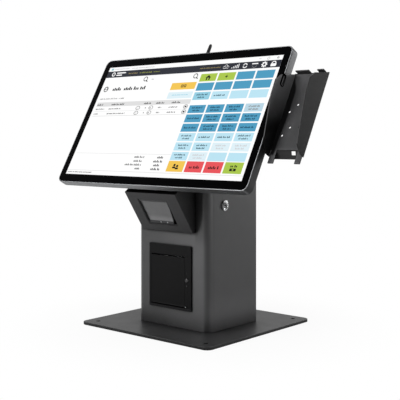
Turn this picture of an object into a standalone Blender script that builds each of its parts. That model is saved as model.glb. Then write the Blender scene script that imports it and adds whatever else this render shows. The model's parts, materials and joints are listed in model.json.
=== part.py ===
"""Point-of-sale touchscreen terminal on a steel pedestal. Metres, +Z up.

The origin is the middle of the base plate's underside. The user stands at -Y,
and the payment cradle is at +X. Every sub-part is one named object.
"""
import math

import bmesh
import bpy
from mathutils import Matrix, Vector

GAP = 0.0003                        # clearance between touching pieces

# Base plate
BASE_WIDTH, BASE_DEPTH, BASE_THICK = 0.348, 0.335, 0.006
BASE_MIDDLE = Vector((-0.005, 0.003))  # from the middle of the column
BASE_RADIUS = 0.014
BASE_HOLE = Vector((0.1475, 0.1425))   # counter-screw holes, from BASE_MIDDLE
BASE_HOLE_RADIUS = 0.0045
CABLE_HOLE_Y, CABLE_HOLE_RADIUS = 0.058, 0.015

# Column: folded sheet steel, open at the back
COLUMN_WIDTH, COLUMN_DEPTH = 0.196, 0.156
COLUMN_WALL = 0.002
COLUMN_FRONT_RADIUS, COLUMN_REAR_RADIUS = 0.018, 0.004
COLUMN_TOP = 0.328
COLUMN_BACK_GAP = 0.160             # width of the opening at the back
CAP_THICK = 0.003

# Mast: the load path from the base plate to the screen
MAST_WIDTH, MAST_FRONT, MAST_BACK, MAST_WALL = 0.090, 0.0, 0.040, 0.0025
MAST_PLATE = 0.004
MAST_BOLT = Vector((0.060, 0.030))  # foot bolts, from (0, MAST_MIDDLE)
MAST_MIDDLE = 0.015

# Screen: 21.5 inch, 16:9, leaning back
DISPLAY_CENTRE = Vector((0.0, -0.0894, 0.4294))
TILT = math.radians(29.1)
HINGE_BEHIND = 0.090                # tilt axis behind the front of the glass
ACTIVE_WIDTH, ACTIVE_HEIGHT = 0.4766, 0.2681
LCD_BORDER = 0.0057                 # the display module around its picture
GLASS_HALF_WIDTH, GLASS_BOTTOM, GLASS_TOP = 0.2545, -0.1516, 0.1525
GLASS_RADIUS, GLASS_THICK = 0.012, 0.003
RIM = 0.0018                        # frame showing around the glass
FRAME_DEPTH = 0.018
COVER_INSET, COVER_STEP = 0.008, 0.006
BULGE_HALF_WIDTH, BULGE_BOTTOM, BULGE_TOP = 0.186, -0.098, 0.110
BULGE_DEPTH, BULGE_DRAFT = 0.045, 0.008
COVER_WALL = 0.0025

# Tilt head
VESA_HALF, VESA_PITCH, VESA_THICK = 0.060, 0.050, 0.003
EAR_INNER, EAR_OUTER, EAR_THICK = 0.0300, 0.0360, 0.0035
PIN_RADIUS, PIN_HOLE_RADIUS, EAR_RADIUS = 0.0040, 0.0043, 0.013
BRACKET_HALF_X, BRACKET_HALF_Y, BRACKET_THICK = 0.060, 0.030, 0.004
BRACKET_BOLT = Vector((0.051, 0.020))
BOLT_RADIUS = 0.003

# Payment cradle, in the screen's own directions (x, behind the glass, up the screen)
CRADLE_LEFT, CRADLE_RIGHT, SHEET = 0.2605, 0.3360, 0.002
CRADLE_MIDDLE = (CRADLE_LEFT + CRADLE_RIGHT) / 2
WEB_FRONT, WEB_TOP, WEB_BOTTOM = 0.022, 0.104, -0.0585
FOOT_BOTTOM, FOOT_WIDTH, FOOT_INSET = -0.0855, 0.012, 0.0030
ARM_THICK, ARM_LOW, ARM_HIGH, ARM_LEFT, ARM_RIGHT = 0.004, 0.046, 0.090, 0.205, 0.322

# Antenna on the top wall of the screen's rear bulge
ANTENNA_X, ANTENNA_BEHIND, ANTENNA_TIP = 0.0047, 0.036, 0.2015
ANTENNA_FOLD = 0.127                # height of the fold hinge up the screen

# Scanner hood on the column's front
HOOD_LEFT, HOOD_RIGHT = -0.0735, 0.0645
HOOD_WALL = 0.0025
HOOD_CORNER = Vector((0.0, -0.1406, 0.2795))   # upper front corner
HOOD_LEAN = math.radians(34)
HOOD_BOTTOM = 0.2006
WINDOW_LEFT, WINDOW_RIGHT, WINDOW_LOW, WINDOW_HIGH = -0.0465, 0.0345, -0.0795, -0.0155
WINDOW_SET_BACK = 0.004

# Receipt printer in the column's front
PANEL_LEFT, PANEL_RIGHT, PANEL_LOW, PANEL_HIGH = -0.0603, 0.0545, 0.0430, 0.1725
PANEL_FRONT, PANEL_BACK = -0.0815, -0.0720
MOUTH_LEFT, MOUTH_RIGHT, MOUTH_LOW, MOUTH_HIGH = -0.0540, 0.0378, 0.0480, 0.1516
DOOR_THICK, DOOR_LOW, DOOR_HIGH = 0.0028, 0.0530, 0.1490
DOOR_AXIS = Vector((0.0, -0.0799, 0.0506))
DOOR_PIN_RADIUS, KNUCKLE_RADIUS = 0.0010, 0.0023
PLATEN_AXIS = Vector((0.0, -0.0695, 0.1385))
PLATEN_RADIUS, PLATEN_AXLE = 0.006, 0.002
ROLL_AXIS = Vector((0.0, -0.0445, 0.0830))
ROLL_RADIUS, ROLL_BORE, ROLL_LEFT, ROLL_RIGHT = 0.025, 0.0065, -0.0480, 0.0315
CASE_LEFT, CASE_RIGHT, CASE_LOW, CASE_HIGH = -0.0565, 0.0505, 0.0470, 0.1680
CASE_BACK, CASE_WALL = -0.0140, 0.0016
BUTTON_AT = Vector((0.0432, -0.0815, 0.1043))
BUTTON_RADIUS = 0.0042

# Cam lock in the column's right side
LOCK_AT = Vector((0.098, -0.030, 0.254))
LOCK_HEAD, LOCK_BODY, LOCK_BORE, PLUG_RADIUS = 0.0107, 0.0095, 0.0058, 0.0055
CAM_REACH, CAM_HALF = 0.038, 0.006

# Colours: base colour, roughness, metallic
COLOURS = {
    "powder_coat": ((0.080, 0.082, 0.086), 0.55, 0.0),
    "black_coat": ((0.030, 0.031, 0.033), 0.50, 0.0),
    "black_plastic": ((0.015, 0.015, 0.016), 0.42, 0.0),
    "satin_rim": ((0.36, 0.37, 0.38), 0.32, 0.9),
    "screen_glass": ((0.010, 0.011, 0.013), 0.05, 0.0),
    "window_glass": ((0.22, 0.22, 0.23), 0.15, 0.0),
    "zinc": ((0.55, 0.56, 0.57), 0.35, 1.0),
    "chrome": ((0.80, 0.81, 0.82), 0.12, 1.0),
    "rubber": ((0.018, 0.018, 0.019), 0.75, 0.0),
    "circuit_green": ((0.02, 0.12, 0.05), 0.45, 0.0),
    "aluminium": ((0.60, 0.61, 0.62), 0.35, 1.0),
    "display_module": ((0.45, 0.46, 0.47), 0.45, 0.0),
    "paper": ((0.85, 0.85, 0.82), 0.80, 0.0),
}


# ---------------------------------------------------------------- helpers

def clear_scene():
    for item in list(bpy.data.objects):
        bpy.data.objects.remove(item, do_unlink=True)


def material(name):
    """The named Principled material, made once."""
    found = bpy.data.materials.get(name)
    if found:
        return found
    colour, roughness, metallic = COLOURS[name]
    made = bpy.data.materials.new(name)
    made.use_nodes = True
    shader = made.node_tree.nodes["Principled BSDF"]
    shader.inputs["Base Color"].default_value = (*colour, 1.0)
    shader.inputs["Roughness"].default_value = roughness
    shader.inputs["Metallic"].default_value = metallic
    made.diffuse_color = (*colour, 1.0)
    return made


def arc(cx, cy, radius, start, end, steps=6):
    """Points on a circle from start to end, in degrees, both included."""
    angles = [math.radians(start + (end - start) * i / steps) for i in range(steps + 1)]
    return [(cx + radius * math.cos(a), cy + radius * math.sin(a)) for a in angles]


def circle(cx, cy, radius, sides=24):
    return arc(cx, cy, radius, 0, 360, sides)[:-1]


def rectangle(x0, y0, x1, y1):
    return [(x0, y0), (x1, y0), (x1, y1), (x0, y1)]


def rounded(x0, y0, x1, y1, radius, steps=6):
    """A rectangle with round corners."""
    r = radius
    return (arc(x1 - r, y0 + r, r, -90, 0, steps) + arc(x1 - r, y1 - r, r, 0, 90, steps)
            + arc(x0 + r, y1 - r, r, 90, 180, steps) + arc(x0 + r, y0 + r, r, 180, 270, steps))


def inset(points, distances):
    """A convex outline, given anticlockwise, with each edge moved in by its own distance."""
    count = len(points)
    lines = []
    for i in range(count):
        start = Vector(points[i])
        along = (Vector(points[(i + 1) % count]) - start).normalized()
        inward = Vector((-along.y, along.x))
        lines.append((start + inward * distances[i], along))
    moved = []
    for i in range(count):
        (p, d), (q, e) = lines[i - 1], lines[i]
        reach = (q - p).cross(e) / d.cross(e)
        moved.append(tuple(p + d * reach))
    return moved


def lift(point, axis, height):
    """A 2-D outline point as a 3-D point: the outline lies across the axis."""
    a, b = point
    return {"X": (height, a, b), "Y": (a, height, b), "Z": (a, b, height)}[axis]


def prism(outline, axis, low, high, end_outline=None):
    """Two rings: an outline and the same, or another, further along the axis."""
    ends = (outline, low), (end_outline or outline, high)
    return [[lift(point, axis, height) for point in shape] for shape, height in ends]


def block(low, high):
    return prism(rectangle(low[0], low[1], high[0], high[1]), "Z", low[2], high[2])


def turned(profile, axis, centre, sides=24):
    """Rings of a turned solid: profile is (place along the axis, radius) pairs."""
    first, second = [value for value, name in zip(centre, "XYZ") if name != axis]
    return [[lift(point, axis, along) for point in circle(first, second, radius, sides)]
            for along, radius in profile]


def mesh_from(solids, name, closed_loop=False):
    """A mesh of closed lofts. A closed loop of rings is a tube and takes no end caps."""
    bm = bmesh.new()
    for rings in solids:
        rows = [[bm.verts.new(point) for point in ring] for ring in rings]
        pairs = list(zip(rows, rows[1:]))
        if closed_loop:
            pairs.append((rows[-1], rows[0]))
        else:
            bm.faces.new(rows[0])
            bm.faces.new(rows[-1])
        for row, following in pairs:
            count = len(row)
            for i in range(count):
                j = (i + 1) % count
                bm.faces.new((row[i], row[j], following[j], following[i]))
    bmesh.ops.recalc_face_normals(bm, faces=bm.faces)
    mesh = bpy.data.meshes.new(name)
    bm.to_mesh(mesh)
    bm.free()
    return mesh


def guide(name, solids, parent):
    """A hidden solid that a Boolean uses. It is not a sub-part."""
    item = bpy.data.objects.new(name, mesh_from(solids, name))
    bpy.context.collection.objects.link(item)
    item.parent = parent
    item.hide_render = True
    item.display_type = "WIRE"
    return item


def boolean(item, operation, name, solids, parent):
    modifier = item.modifiers.new(name, "BOOLEAN")
    modifier.operation = operation
    modifier.solver = "EXACT"
    modifier.object = guide(f"{item.name}.{name}", solids, parent)


def part(name, solid, look, parent=None, bevel=0.0, add=(), cut=(), cut_in=None, origin=None,
         smooth=True, loop=False, segments=2):
    """One sub-part: a loft, bevelled, with solids added to it and then cut from it.

    Each entry of cut is a list of solids that don't overlap. cut_in is the parent of
    cutters that are given in another frame than the part's own.
    """
    mesh = mesh_from([solid], name, loop)
    if origin is not None:
        mesh.transform(Matrix.Translation(-Vector(origin)))
    item = bpy.data.objects.new(name, mesh)
    bpy.context.collection.objects.link(item)
    item.parent = parent
    if origin is not None:
        item.location = origin
    mesh.materials.append(material(look))
    if smooth:
        mesh.shade_smooth()
        mesh.set_sharp_from_angle(angle=math.radians(30))
    if bevel:
        modifier = item.modifiers.new("edges", "BEVEL")
        modifier.width = bevel
        modifier.segments = segments
        modifier.limit_method = "ANGLE"
        modifier.angle_limit = math.radians(40)
    for number, extra in enumerate(add):
        boolean(item, "UNION", f"add{number}", [extra], parent)
    for number, group in enumerate(cut):
        boolean(item, "DIFFERENCE", f"cut{number}", group, cut_in or parent)
    return item


def empty(name, location, turn_x=0.0, parent=None):
    item = bpy.data.objects.new(name, None)
    bpy.context.collection.objects.link(item)
    item.location = location
    item.rotation_euler = (turn_x, 0.0, 0.0)
    item.parent = parent
    return item


def screw(name, head_at, axis, toward, look, parent=None, head=(0.005, 0.0025), shank=(0.003, 0.010)):
    """A pan-head screw. head_at is under its head, and toward is -1 or 1 along the axis."""
    index = "XYZ".index(axis)
    base = head_at[index]
    radius, height = head
    profile = [(base - toward * height, radius * 0.8), (base - toward * height * 0.7, radius),
               (base, radius), (base, shank[0]), (base + toward * shank[1], shank[0])]
    part(name, turned(profile, axis, head_at, 12), look, parent)


# ---------------------------------------------------------------- pedestal

def base_plate():
    half = Vector((BASE_WIDTH, BASE_DEPTH)) / 2
    outline = rounded(*(BASE_MIDDLE - half), *(BASE_MIDDLE + half), BASE_RADIUS)
    corners = [BASE_MIDDLE + Vector((sx * BASE_HOLE.x, sy * BASE_HOLE.y))
               for sx in (-1, 1) for sy in (-1, 1)]
    holes = [prism(circle(*corner, BASE_HOLE_RADIUS, 20), "Z", -0.001, 0.008) for corner in corners]
    holes.append(prism(circle(0, CABLE_HOLE_Y, CABLE_HOLE_RADIUS, 24), "Z", -0.001, 0.008))
    holes += [prism(circle(x, y, BOLT_RADIUS + GAP, 12), "Z", -0.001, 0.008) for x, y in mast_bolts()]
    sinks = [prism(circle(x, y, 0.0056, 12), "Z", -0.001, 0.0036) for x, y in mast_bolts()]
    part("base_plate", prism(outline, "Z", 0, BASE_THICK), "powder_coat", bevel=0.0008,
         cut=(holes, sinks))


def mast_bolts():
    return [(sx * MAST_BOLT.x, MAST_MIDDLE + sy * MAST_BOLT.y) for sx in (-1, 1) for sy in (-1, 1)]


def bracket_bolts():
    middle = hinge_point().y
    return [(sx * BRACKET_BOLT.x, middle + sy * BRACKET_BOLT.y) for sx in (-1, 1) for sy in (-1, 1)]


def mast():
    half, wall = MAST_WIDTH / 2, MAST_WALL
    foot_low = BASE_THICK + GAP
    foot_high = foot_low + MAST_PLATE
    top_high = COLUMN_TOP
    top_low = top_high - MAST_PLATE
    channel = [(-half, MAST_FRONT), (half, MAST_FRONT), (half, MAST_BACK), (half - wall, MAST_BACK),
               (half - wall, MAST_FRONT + wall), (-half + wall, MAST_FRONT + wall),
               (-half + wall, MAST_BACK), (-half, MAST_BACK)]
    foot = block((-0.075, MAST_MIDDLE - 0.042, foot_low), (0.075, MAST_BACK, foot_high))
    foot_tabs = block((-0.075, MAST_FRONT, foot_low), (0.075, MAST_MIDDLE + 0.042, foot_high))
    crown = block((-0.062, -0.042, top_low), (0.062, 0.0345, top_high))
    cable_way = [prism(circle(0, CABLE_HOLE_Y, CABLE_HOLE_RADIUS + 0.002, 24), "Z", 0.0, 0.02)]
    bolt_holes = [prism(circle(x, y, BOLT_RADIUS + GAP, 12), "Z", 0.0, 0.02) for x, y in mast_bolts()]
    bolt_holes += [prism(circle(x, y, BOLT_RADIUS + GAP, 12), "Z", 0.31, 0.34)
                   for x, y in bracket_bolts()]
    part("mast", prism(channel, "Z", foot_high - 0.001, top_low + 0.001), "zinc",
         add=(foot, foot_tabs, crown), cut=(cable_way, bolt_holes))
    for number, (x, y) in enumerate(mast_bolts(), 1):
        screw(f"mast_bolt_{number}", (x, y, 0.0033), "Z", 1, "zinc", head=(0.0053, 0.0025),
              shank=(BOLT_RADIUS, 0.012))


def column_path(shrink):
    """One side of the column's folded sheet, from the right of the back gap to the left."""
    half_x, half_y = COLUMN_WIDTH / 2 - shrink, COLUMN_DEPTH / 2 - shrink
    front, rear = COLUMN_FRONT_RADIUS - shrink, COLUMN_REAR_RADIUS - shrink
    gap = COLUMN_BACK_GAP / 2
    return ([(gap, half_y)]
            + arc(half_x - rear, half_y - rear, rear, 90, 0, 3)
            + arc(half_x - front, -half_y + front, front, 0, -90, 8)
            + arc(-half_x + front, -half_y + front, front, -90, -180, 8)
            + arc(-half_x + rear, half_y - rear, rear, 180, 90, 3)
            + [(-gap, half_y)])


def panel_screws():
    return [(-0.085, 0.306), (0.085, 0.306)]


def column():
    outline = column_path(0) + column_path(COLUMN_WALL)[::-1]
    front_low, front_high = -0.090, -0.060
    printer = prism(rectangle(CASE_LEFT - 0.0005, CASE_LOW - 0.0005, CASE_RIGHT + 0.0005,
                              CASE_HIGH + 0.0005), "Y", front_low, front_high)
    scanner = prism(rectangle(-0.058, 0.212, 0.056, 0.300), "Y", front_low, front_high)
    lock = prism(circle(LOCK_AT.y, LOCK_AT.z, LOCK_BODY + GAP), "X", 0.090, 0.105)
    screws = [prism(circle(x, z, 0.0018, 12), "Y", 0.070, 0.090) for x, z in panel_screws()]
    part("column_shell", prism(outline, "Z", BASE_THICK + GAP, COLUMN_TOP), "powder_coat",
         cut=([printer, scanner, lock] + screws,))
    cap_low = COLUMN_TOP + GAP
    cap = rounded(-COLUMN_WIDTH / 2, -COLUMN_DEPTH / 2, COLUMN_WIDTH / 2, COLUMN_DEPTH / 2, 0.016, 8)
    wiring = prism(circle(0, 0.050, 0.014, 24), "Z", cap_low - 0.001, cap_low + 0.01)
    bolts = [prism(circle(x, y, BOLT_RADIUS + GAP, 12), "Z", cap_low - 0.001, cap_low + 0.01)
             for x, y in bracket_bolts()]
    part("column_cap", prism(cap, "Z", cap_low, cap_low + CAP_THICK), "powder_coat", bevel=0.0008,
         cut=([wiring] + bolts,))


def rear_panel():
    face = COLUMN_DEPTH / 2 + GAP
    thick = 0.0018
    slots = [prism(rounded(-0.045, z, 0.045, z + 0.004, 0.0019, 2), "Y", face - 0.001, face + 0.004)
             for z in [0.215 + 0.009 * i for i in range(8)]]
    inlet = prism(rectangle(0.0437, 0.0237, 0.0713, 0.0443), "Y", face - 0.001, face + 0.004)
    screws = [prism(circle(x, z, 0.0018, 12), "Y", face - 0.001, face + 0.004)
              for x, z in panel_screws()]
    part("rear_panel", prism(rounded(-0.092, 0.012, 0.092, 0.322, 0.004, 3), "Y", face, face + thick),
         "powder_coat", cut=(slots + [inlet] + screws,))
    for number, (x, z) in enumerate(panel_screws(), 1):
        screw(f"panel_screw_{number}", (x, face + thick + GAP, z), "Y", -1, "zinc",
              head=(0.0032, 0.0018), shank=(0.0015, 0.0038))
    part("power_inlet", block((0.044, 0.058, 0.024), (0.071, face + thick + 0.0006, 0.044)),
         "black_plastic", bevel=0.0008,
         cut=([block((0.0475, face - 0.009, 0.0275), (0.0675, 0.090, 0.0405))],))
    part("power_supply", block((-0.040, 0.0425, 0.050), (0.036, 0.0745, 0.165)), "black_plastic",
         bevel=0.002)
    grommet = [(0.0003, 0.0120), (0.0003, CABLE_HOLE_RADIUS - GAP), (0.0063, CABLE_HOLE_RADIUS - GAP),
               (0.0063, 0.0165), (0.0083, 0.0165), (0.0083, 0.0120)]
    part("cable_grommet", turned(grommet, "Z", (0, CABLE_HOLE_Y, 0), 24), "rubber", loop=True)


def lock():
    x, y, z = LOCK_AT
    barrel = [(x - 0.016, LOCK_BORE), (x - 0.016, LOCK_BODY), (x + GAP, LOCK_BODY),
              (x + GAP, LOCK_HEAD), (x + 0.0018, LOCK_HEAD), (x + 0.0026, LOCK_HEAD - 0.0012),
              (x + 0.0026, LOCK_BORE)]
    part("lock_barrel", turned(barrel, "X", LOCK_AT, 32), "chrome", loop=True)
    nut_low = x - COLUMN_WALL - GAP - 0.004
    nut = [(nut_low, LOCK_BODY + GAP), (nut_low, 0.0135), (nut_low + 0.004, 0.0135),
           (nut_low + 0.004, LOCK_BODY + GAP)]
    part("lock_nut", turned(nut, "X", LOCK_AT, 24), "zinc", loop=True)
    plug = [(x - 0.0215, 0.003), (x - 0.0165, 0.003), (x - 0.0165, PLUG_RADIUS), (x + 0.002, PLUG_RADIUS)]
    keyway = block((x - 0.002, y - 0.0007, z - 0.0034), (x + 0.01, y + 0.0007, z + 0.0034))
    part("lock_plug", turned(plug, "X", LOCK_AT, 24), "zinc", origin=LOCK_AT, cut=([keyway],))
    tip = z - CAM_REACH
    lever = arc(y, z, 0.008, 0, 180, 8) + arc(y, tip, CAM_HALF, 180, 360, 8)
    part("lock_cam", prism(lever, "X", x - 0.0202, x - 0.0182), "zinc", origin=LOCK_AT,
         cut=([prism(circle(y, z, 0.0033), "X", x - 0.022, x - 0.016)],))


# ---------------------------------------------------------------- scanner

def scanner():
    slope_y = math.tan(HOOD_LEAN) * (HOOD_CORNER.z - HOOD_BOTTOM)
    rear = -COLUMN_DEPTH / 2 - GAP
    roof = HOOD_CORNER.z + (rear - HOOD_CORNER.y) * math.tan(HOOD_LEAN)
    profile = [(HOOD_CORNER.y, HOOD_CORNER.z), (HOOD_CORNER.y + slope_y, HOOD_BOTTOM),
               (rear, HOOD_BOTTOM), (rear, roof)]
    hollow = inset(profile, (HOOD_WALL, HOOD_WALL, -0.002, HOOD_WALL))
    face = empty("scanner_face", HOOD_CORNER, HOOD_LEAN)
    window = prism(rectangle(WINDOW_LEFT, WINDOW_LOW, WINDOW_RIGHT, WINDOW_HIGH), "Y", -0.004, 0.006)
    hood = part("scanner_hood", prism(profile, "X", HOOD_LEFT, HOOD_RIGHT), "black_coat", bevel=0.0012,
                cut=([prism(hollow, "X", HOOD_LEFT + HOOD_WALL, HOOD_RIGHT - HOOD_WALL)],))
    boolean(hood, "DIFFERENCE", "window", [window], face)
    g, w = GAP, 0.0015
    outer = rectangle(WINDOW_LEFT + g, WINDOW_LOW + g, WINDOW_RIGHT - g, WINDOW_HIGH - g)
    inner = rectangle(WINDOW_LEFT + w, WINDOW_LOW + w, WINDOW_RIGHT - w, WINDOW_HIGH - w)
    part("window_frame", prism(outer, "Y", 0.0004, 0.012), "black_plastic", parent=face,
         cut=([prism(inner, "Y", -0.002, 0.014)],))
    pane = rectangle(WINDOW_LEFT + w + g, WINDOW_LOW + w + g, WINDOW_RIGHT - w - g, WINDOW_HIGH - w - g)
    part("scanner_window", prism(pane, "Y", WINDOW_SET_BACK, WINDOW_SET_BACK + 0.0015), "window_glass",
         parent=face)
    lens = [prism(circle(-0.006, -0.046, 0.0065), "Y", 0.012, 0.017)]
    part("scanner_engine", block((-0.030, 0.0135, -0.064), (0.018, 0.036, -0.030)), "black_plastic",
         parent=face, bevel=0.001, cut=(lens,))
    plate = [(-0.062, -0.0755), (0.076, -0.0755), (0.076, -0.020), (0.086, -0.020), (0.086, -0.014),
             (0.066, -0.014), (0.066, -0.062), (-0.062, -0.062)]
    part("scanner_bracket", prism(plate, "Z", 0.2300, 0.2320), "zinc")


# ---------------------------------------------------------------- printer

def printer_bezel():
    front = rounded(PANEL_LEFT, PANEL_LOW, PANEL_RIGHT, PANEL_HIGH, 0.0015, 4)
    rim = prism(rectangle(CASE_LEFT, CASE_LOW, CASE_RIGHT, CASE_HIGH), "Y", -0.0790, PANEL_BACK)
    mouth = prism(rectangle(MOUTH_LEFT, MOUTH_LOW, MOUTH_RIGHT, MOUTH_HIGH), "Y", -0.09, -0.06)
    button = prism(circle(BUTTON_AT.x, BUTTON_AT.z, BUTTON_RADIUS + 0.0004), "Y", -0.09, -0.06)
    groove = block((MOUTH_RIGHT - 0.001, -0.09, MOUTH_LOW), (0.0490, PANEL_FRONT + 0.0015, 0.0525))
    pin = prism(circle(DOOR_AXIS.y, DOOR_AXIS.z, DOOR_PIN_RADIUS + GAP, 12), "X",
                MOUTH_LEFT - 0.0018, MOUTH_RIGHT + 0.0025)
    part("printer_bezel", prism(front, "Y", PANEL_FRONT, -COLUMN_DEPTH / 2 - GAP), "black_plastic",
         bevel=0.0006, add=(rim,), cut=([mouth, button], [groove], [pin]))


def printer_door():
    left, right = MOUTH_LEFT + 0.0005, MOUTH_RIGHT - 0.0005
    back = PANEL_FRONT + DOOR_THICK
    axis_y, axis_z = DOOR_AXIS.y, DOOR_AXIS.z
    leaf = ([(back, DOOR_HIGH), (PANEL_FRONT, DOOR_HIGH), (PANEL_FRONT, DOOR_LOW)]
            + arc(axis_y, axis_z, KNUCKLE_RADIUS, 160, 400, 12) + [(back, DOOR_LOW)])
    ear = ([(back - 0.001, PLATEN_AXIS.z - 0.008), (PLATEN_AXIS.y, PLATEN_AXIS.z - 0.005)]
           + arc(PLATEN_AXIS.y, PLATEN_AXIS.z, 0.0050, -70, 70, 6)
           + [(PLATEN_AXIS.y, PLATEN_AXIS.z + 0.005), (back - 0.001, PLATEN_AXIS.z + 0.006)])
    ears = [prism(ear, "X", x, x + 0.0020) for x in (left, right - 0.0020)]
    pin = prism(circle(axis_y, axis_z, DOOR_PIN_RADIUS + GAP, 12), "X", left - 0.002, right + 0.002)
    axle = prism(circle(PLATEN_AXIS.y, PLATEN_AXIS.z, PLATEN_AXLE + GAP, 16), "X",
                 left - 0.001, right + 0.001)
    part("printer_door", prism(leaf, "X", left, right), "black_plastic", add=ears, cut=([pin], [axle]),
         origin=DOOR_AXIS)
    pin_ends = [(MOUTH_LEFT - 0.0015, DOOR_PIN_RADIUS), (MOUTH_RIGHT + 0.0022, DOOR_PIN_RADIUS)]
    part("door_pin", turned(pin_ends, "X", DOOR_AXIS, 12), "zinc")
    body_left, body_right = left + 0.0026, right - 0.0026
    platen = [(left + 0.0002, PLATEN_AXLE), (body_left, PLATEN_AXLE), (body_left, PLATEN_RADIUS),
              (body_right, PLATEN_RADIUS), (body_right, PLATEN_AXLE), (right - 0.0002, PLATEN_AXLE)]
    part("platen_roller", turned(platen, "X", PLATEN_AXIS, 24), "rubber", origin=PLATEN_AXIS)


def printer_works():
    front = PANEL_BACK + GAP
    w = CASE_WALL
    part("printer_case", block((CASE_LEFT, front, CASE_LOW), (CASE_RIGHT, CASE_BACK, CASE_HIGH)),
         "black_plastic", cut=([block((CASE_LEFT + w, front - 0.01, CASE_LOW + w),
                                      (CASE_RIGHT - w, CASE_BACK - w, CASE_HIGH - w))],))
    roll = [(ROLL_LEFT, ROLL_BORE), (ROLL_LEFT, ROLL_RADIUS), (ROLL_RIGHT, ROLL_RADIUS),
            (ROLL_RIGHT, ROLL_BORE)]
    part("paper_roll", turned(roll, "X", ROLL_AXIS, 40), "paper", origin=ROLL_AXIS, loop=True)
    spindle = [(CASE_LEFT + w + GAP, 0.0059), (CASE_RIGHT - w - GAP, 0.0059)]
    part("paper_spindle", turned(spindle, "X", ROLL_AXIS, 24), "black_plastic")
    head_front = PLATEN_AXIS.y + PLATEN_RADIUS + 0.0005
    part("print_head", block((-0.049, head_front, 0.1285), (0.033, head_front + 0.007, 0.1495)),
         "aluminium", bevel=0.0006)
    y = BUTTON_AT.y
    button = [(y - 0.0016, BUTTON_RADIUS - 0.0010), (y - 0.0010, BUTTON_RADIUS), (y + 0.006, BUTTON_RADIUS)]
    part("feed_button", turned(button, "Y", BUTTON_AT, 24), "black_plastic", origin=BUTTON_AT)


# ---------------------------------------------------------------- tilt head

def hinge_point():
    """World place of the tilt axis, straight behind the display's centre."""
    return DISPLAY_CENTRE + Vector((0, math.cos(TILT), -math.sin(TILT))) * HINGE_BEHIND


def tilt_bracket():
    hinge = hinge_point()
    low = COLUMN_TOP + GAP + CAP_THICK + GAP
    high = low + BRACKET_THICK
    ear = ([(hinge.y - 0.026, high - 0.001), (hinge.y + 0.026, high - 0.001)]
           + arc(hinge.y, hinge.z, EAR_RADIUS, -10, 190, 12))
    ears = [prism(ear, "X", x, x + EAR_THICK) for x in (-EAR_OUTER - EAR_THICK, EAR_OUTER)]
    pin = prism(circle(hinge.y, hinge.z, PIN_HOLE_RADIUS), "X", -0.045, 0.045)
    bolts = [prism(circle(x, y, BOLT_RADIUS + GAP, 12), "Z", low - 0.01, high + 0.01)
             for x, y in bracket_bolts()]
    base = block((-BRACKET_HALF_X, hinge.y - BRACKET_HALF_Y, low),
                 (BRACKET_HALF_X, hinge.y + BRACKET_HALF_Y, high))
    part("tilt_bracket", base, "black_coat", add=ears, cut=([pin], bolts))
    for number, (x, y) in enumerate(bracket_bolts(), 1):
        screw(f"bracket_bolt_{number}", (x, y, high + GAP), "Z", -1, "zinc", head=(0.0052, 0.003),
              shank=(BOLT_RADIUS, 0.0125))
    end = EAR_OUTER + EAR_THICK
    pin_profile = [(-end - 0.005, 0.006), (-end - 0.004, 0.007), (-end - GAP, 0.007),
                   (-end - GAP, PIN_RADIUS), (end + 0.010, PIN_RADIUS)]
    part("tilt_pin", turned(pin_profile, "X", hinge, 24), "zinc")
    nut = [(end + GAP, PIN_RADIUS + GAP), (end + GAP, 0.0075), (end + 0.0065, 0.0075),
           (end + 0.0065, PIN_RADIUS + GAP)]
    part("tilt_nut", turned(nut, "X", hinge, 24), "zinc", loop=True)


def vesa_plate(axis):
    front = -HINGE_BEHIND + BULGE_DEPTH + GAP
    back = front + VESA_THICK
    ear = ([(back - 0.001, 0.028), (back - 0.001, -0.028)] + arc(0, 0, EAR_RADIUS, -100, 100, 12))
    ears = [prism(ear, "X", x, x + EAR_THICK) for x in (-EAR_INNER - EAR_THICK, EAR_INNER)]
    pin = prism(circle(0, 0, PIN_HOLE_RADIUS), "X", -0.045, 0.045)
    places = [(sx * VESA_PITCH, sz * VESA_PITCH) for sx in (-1, 1) for sz in (-1, 1)]
    holes = [prism(circle(x, z, 0.0023, 16), "Y", front - 0.01, back + 0.01) for x, z in places]
    window = prism(rounded(-0.022, -0.022, 0.022, 0.022, 0.004, 3), "Y", front - 0.01, back + 0.01)
    part("vesa_plate", prism(rounded(-VESA_HALF, -VESA_HALF, VESA_HALF, VESA_HALF, 0.006, 3), "Y",
                             front, back), "black_coat", parent=axis, add=ears,
         cut=([pin], holes + [window]))
    for number, (x, z) in enumerate(places, 1):
        screw(f"vesa_screw_{number}", (x, back + GAP, z), "Y", -1, "zinc", axis,
              head=(0.0042, 0.0024), shank=(0.0020, 0.0055))
    return places


# ---------------------------------------------------------------- screen

def behind(distance):
    """Local y of a plane this far behind the front of the glass."""
    return -HINGE_BEHIND + distance


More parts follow.
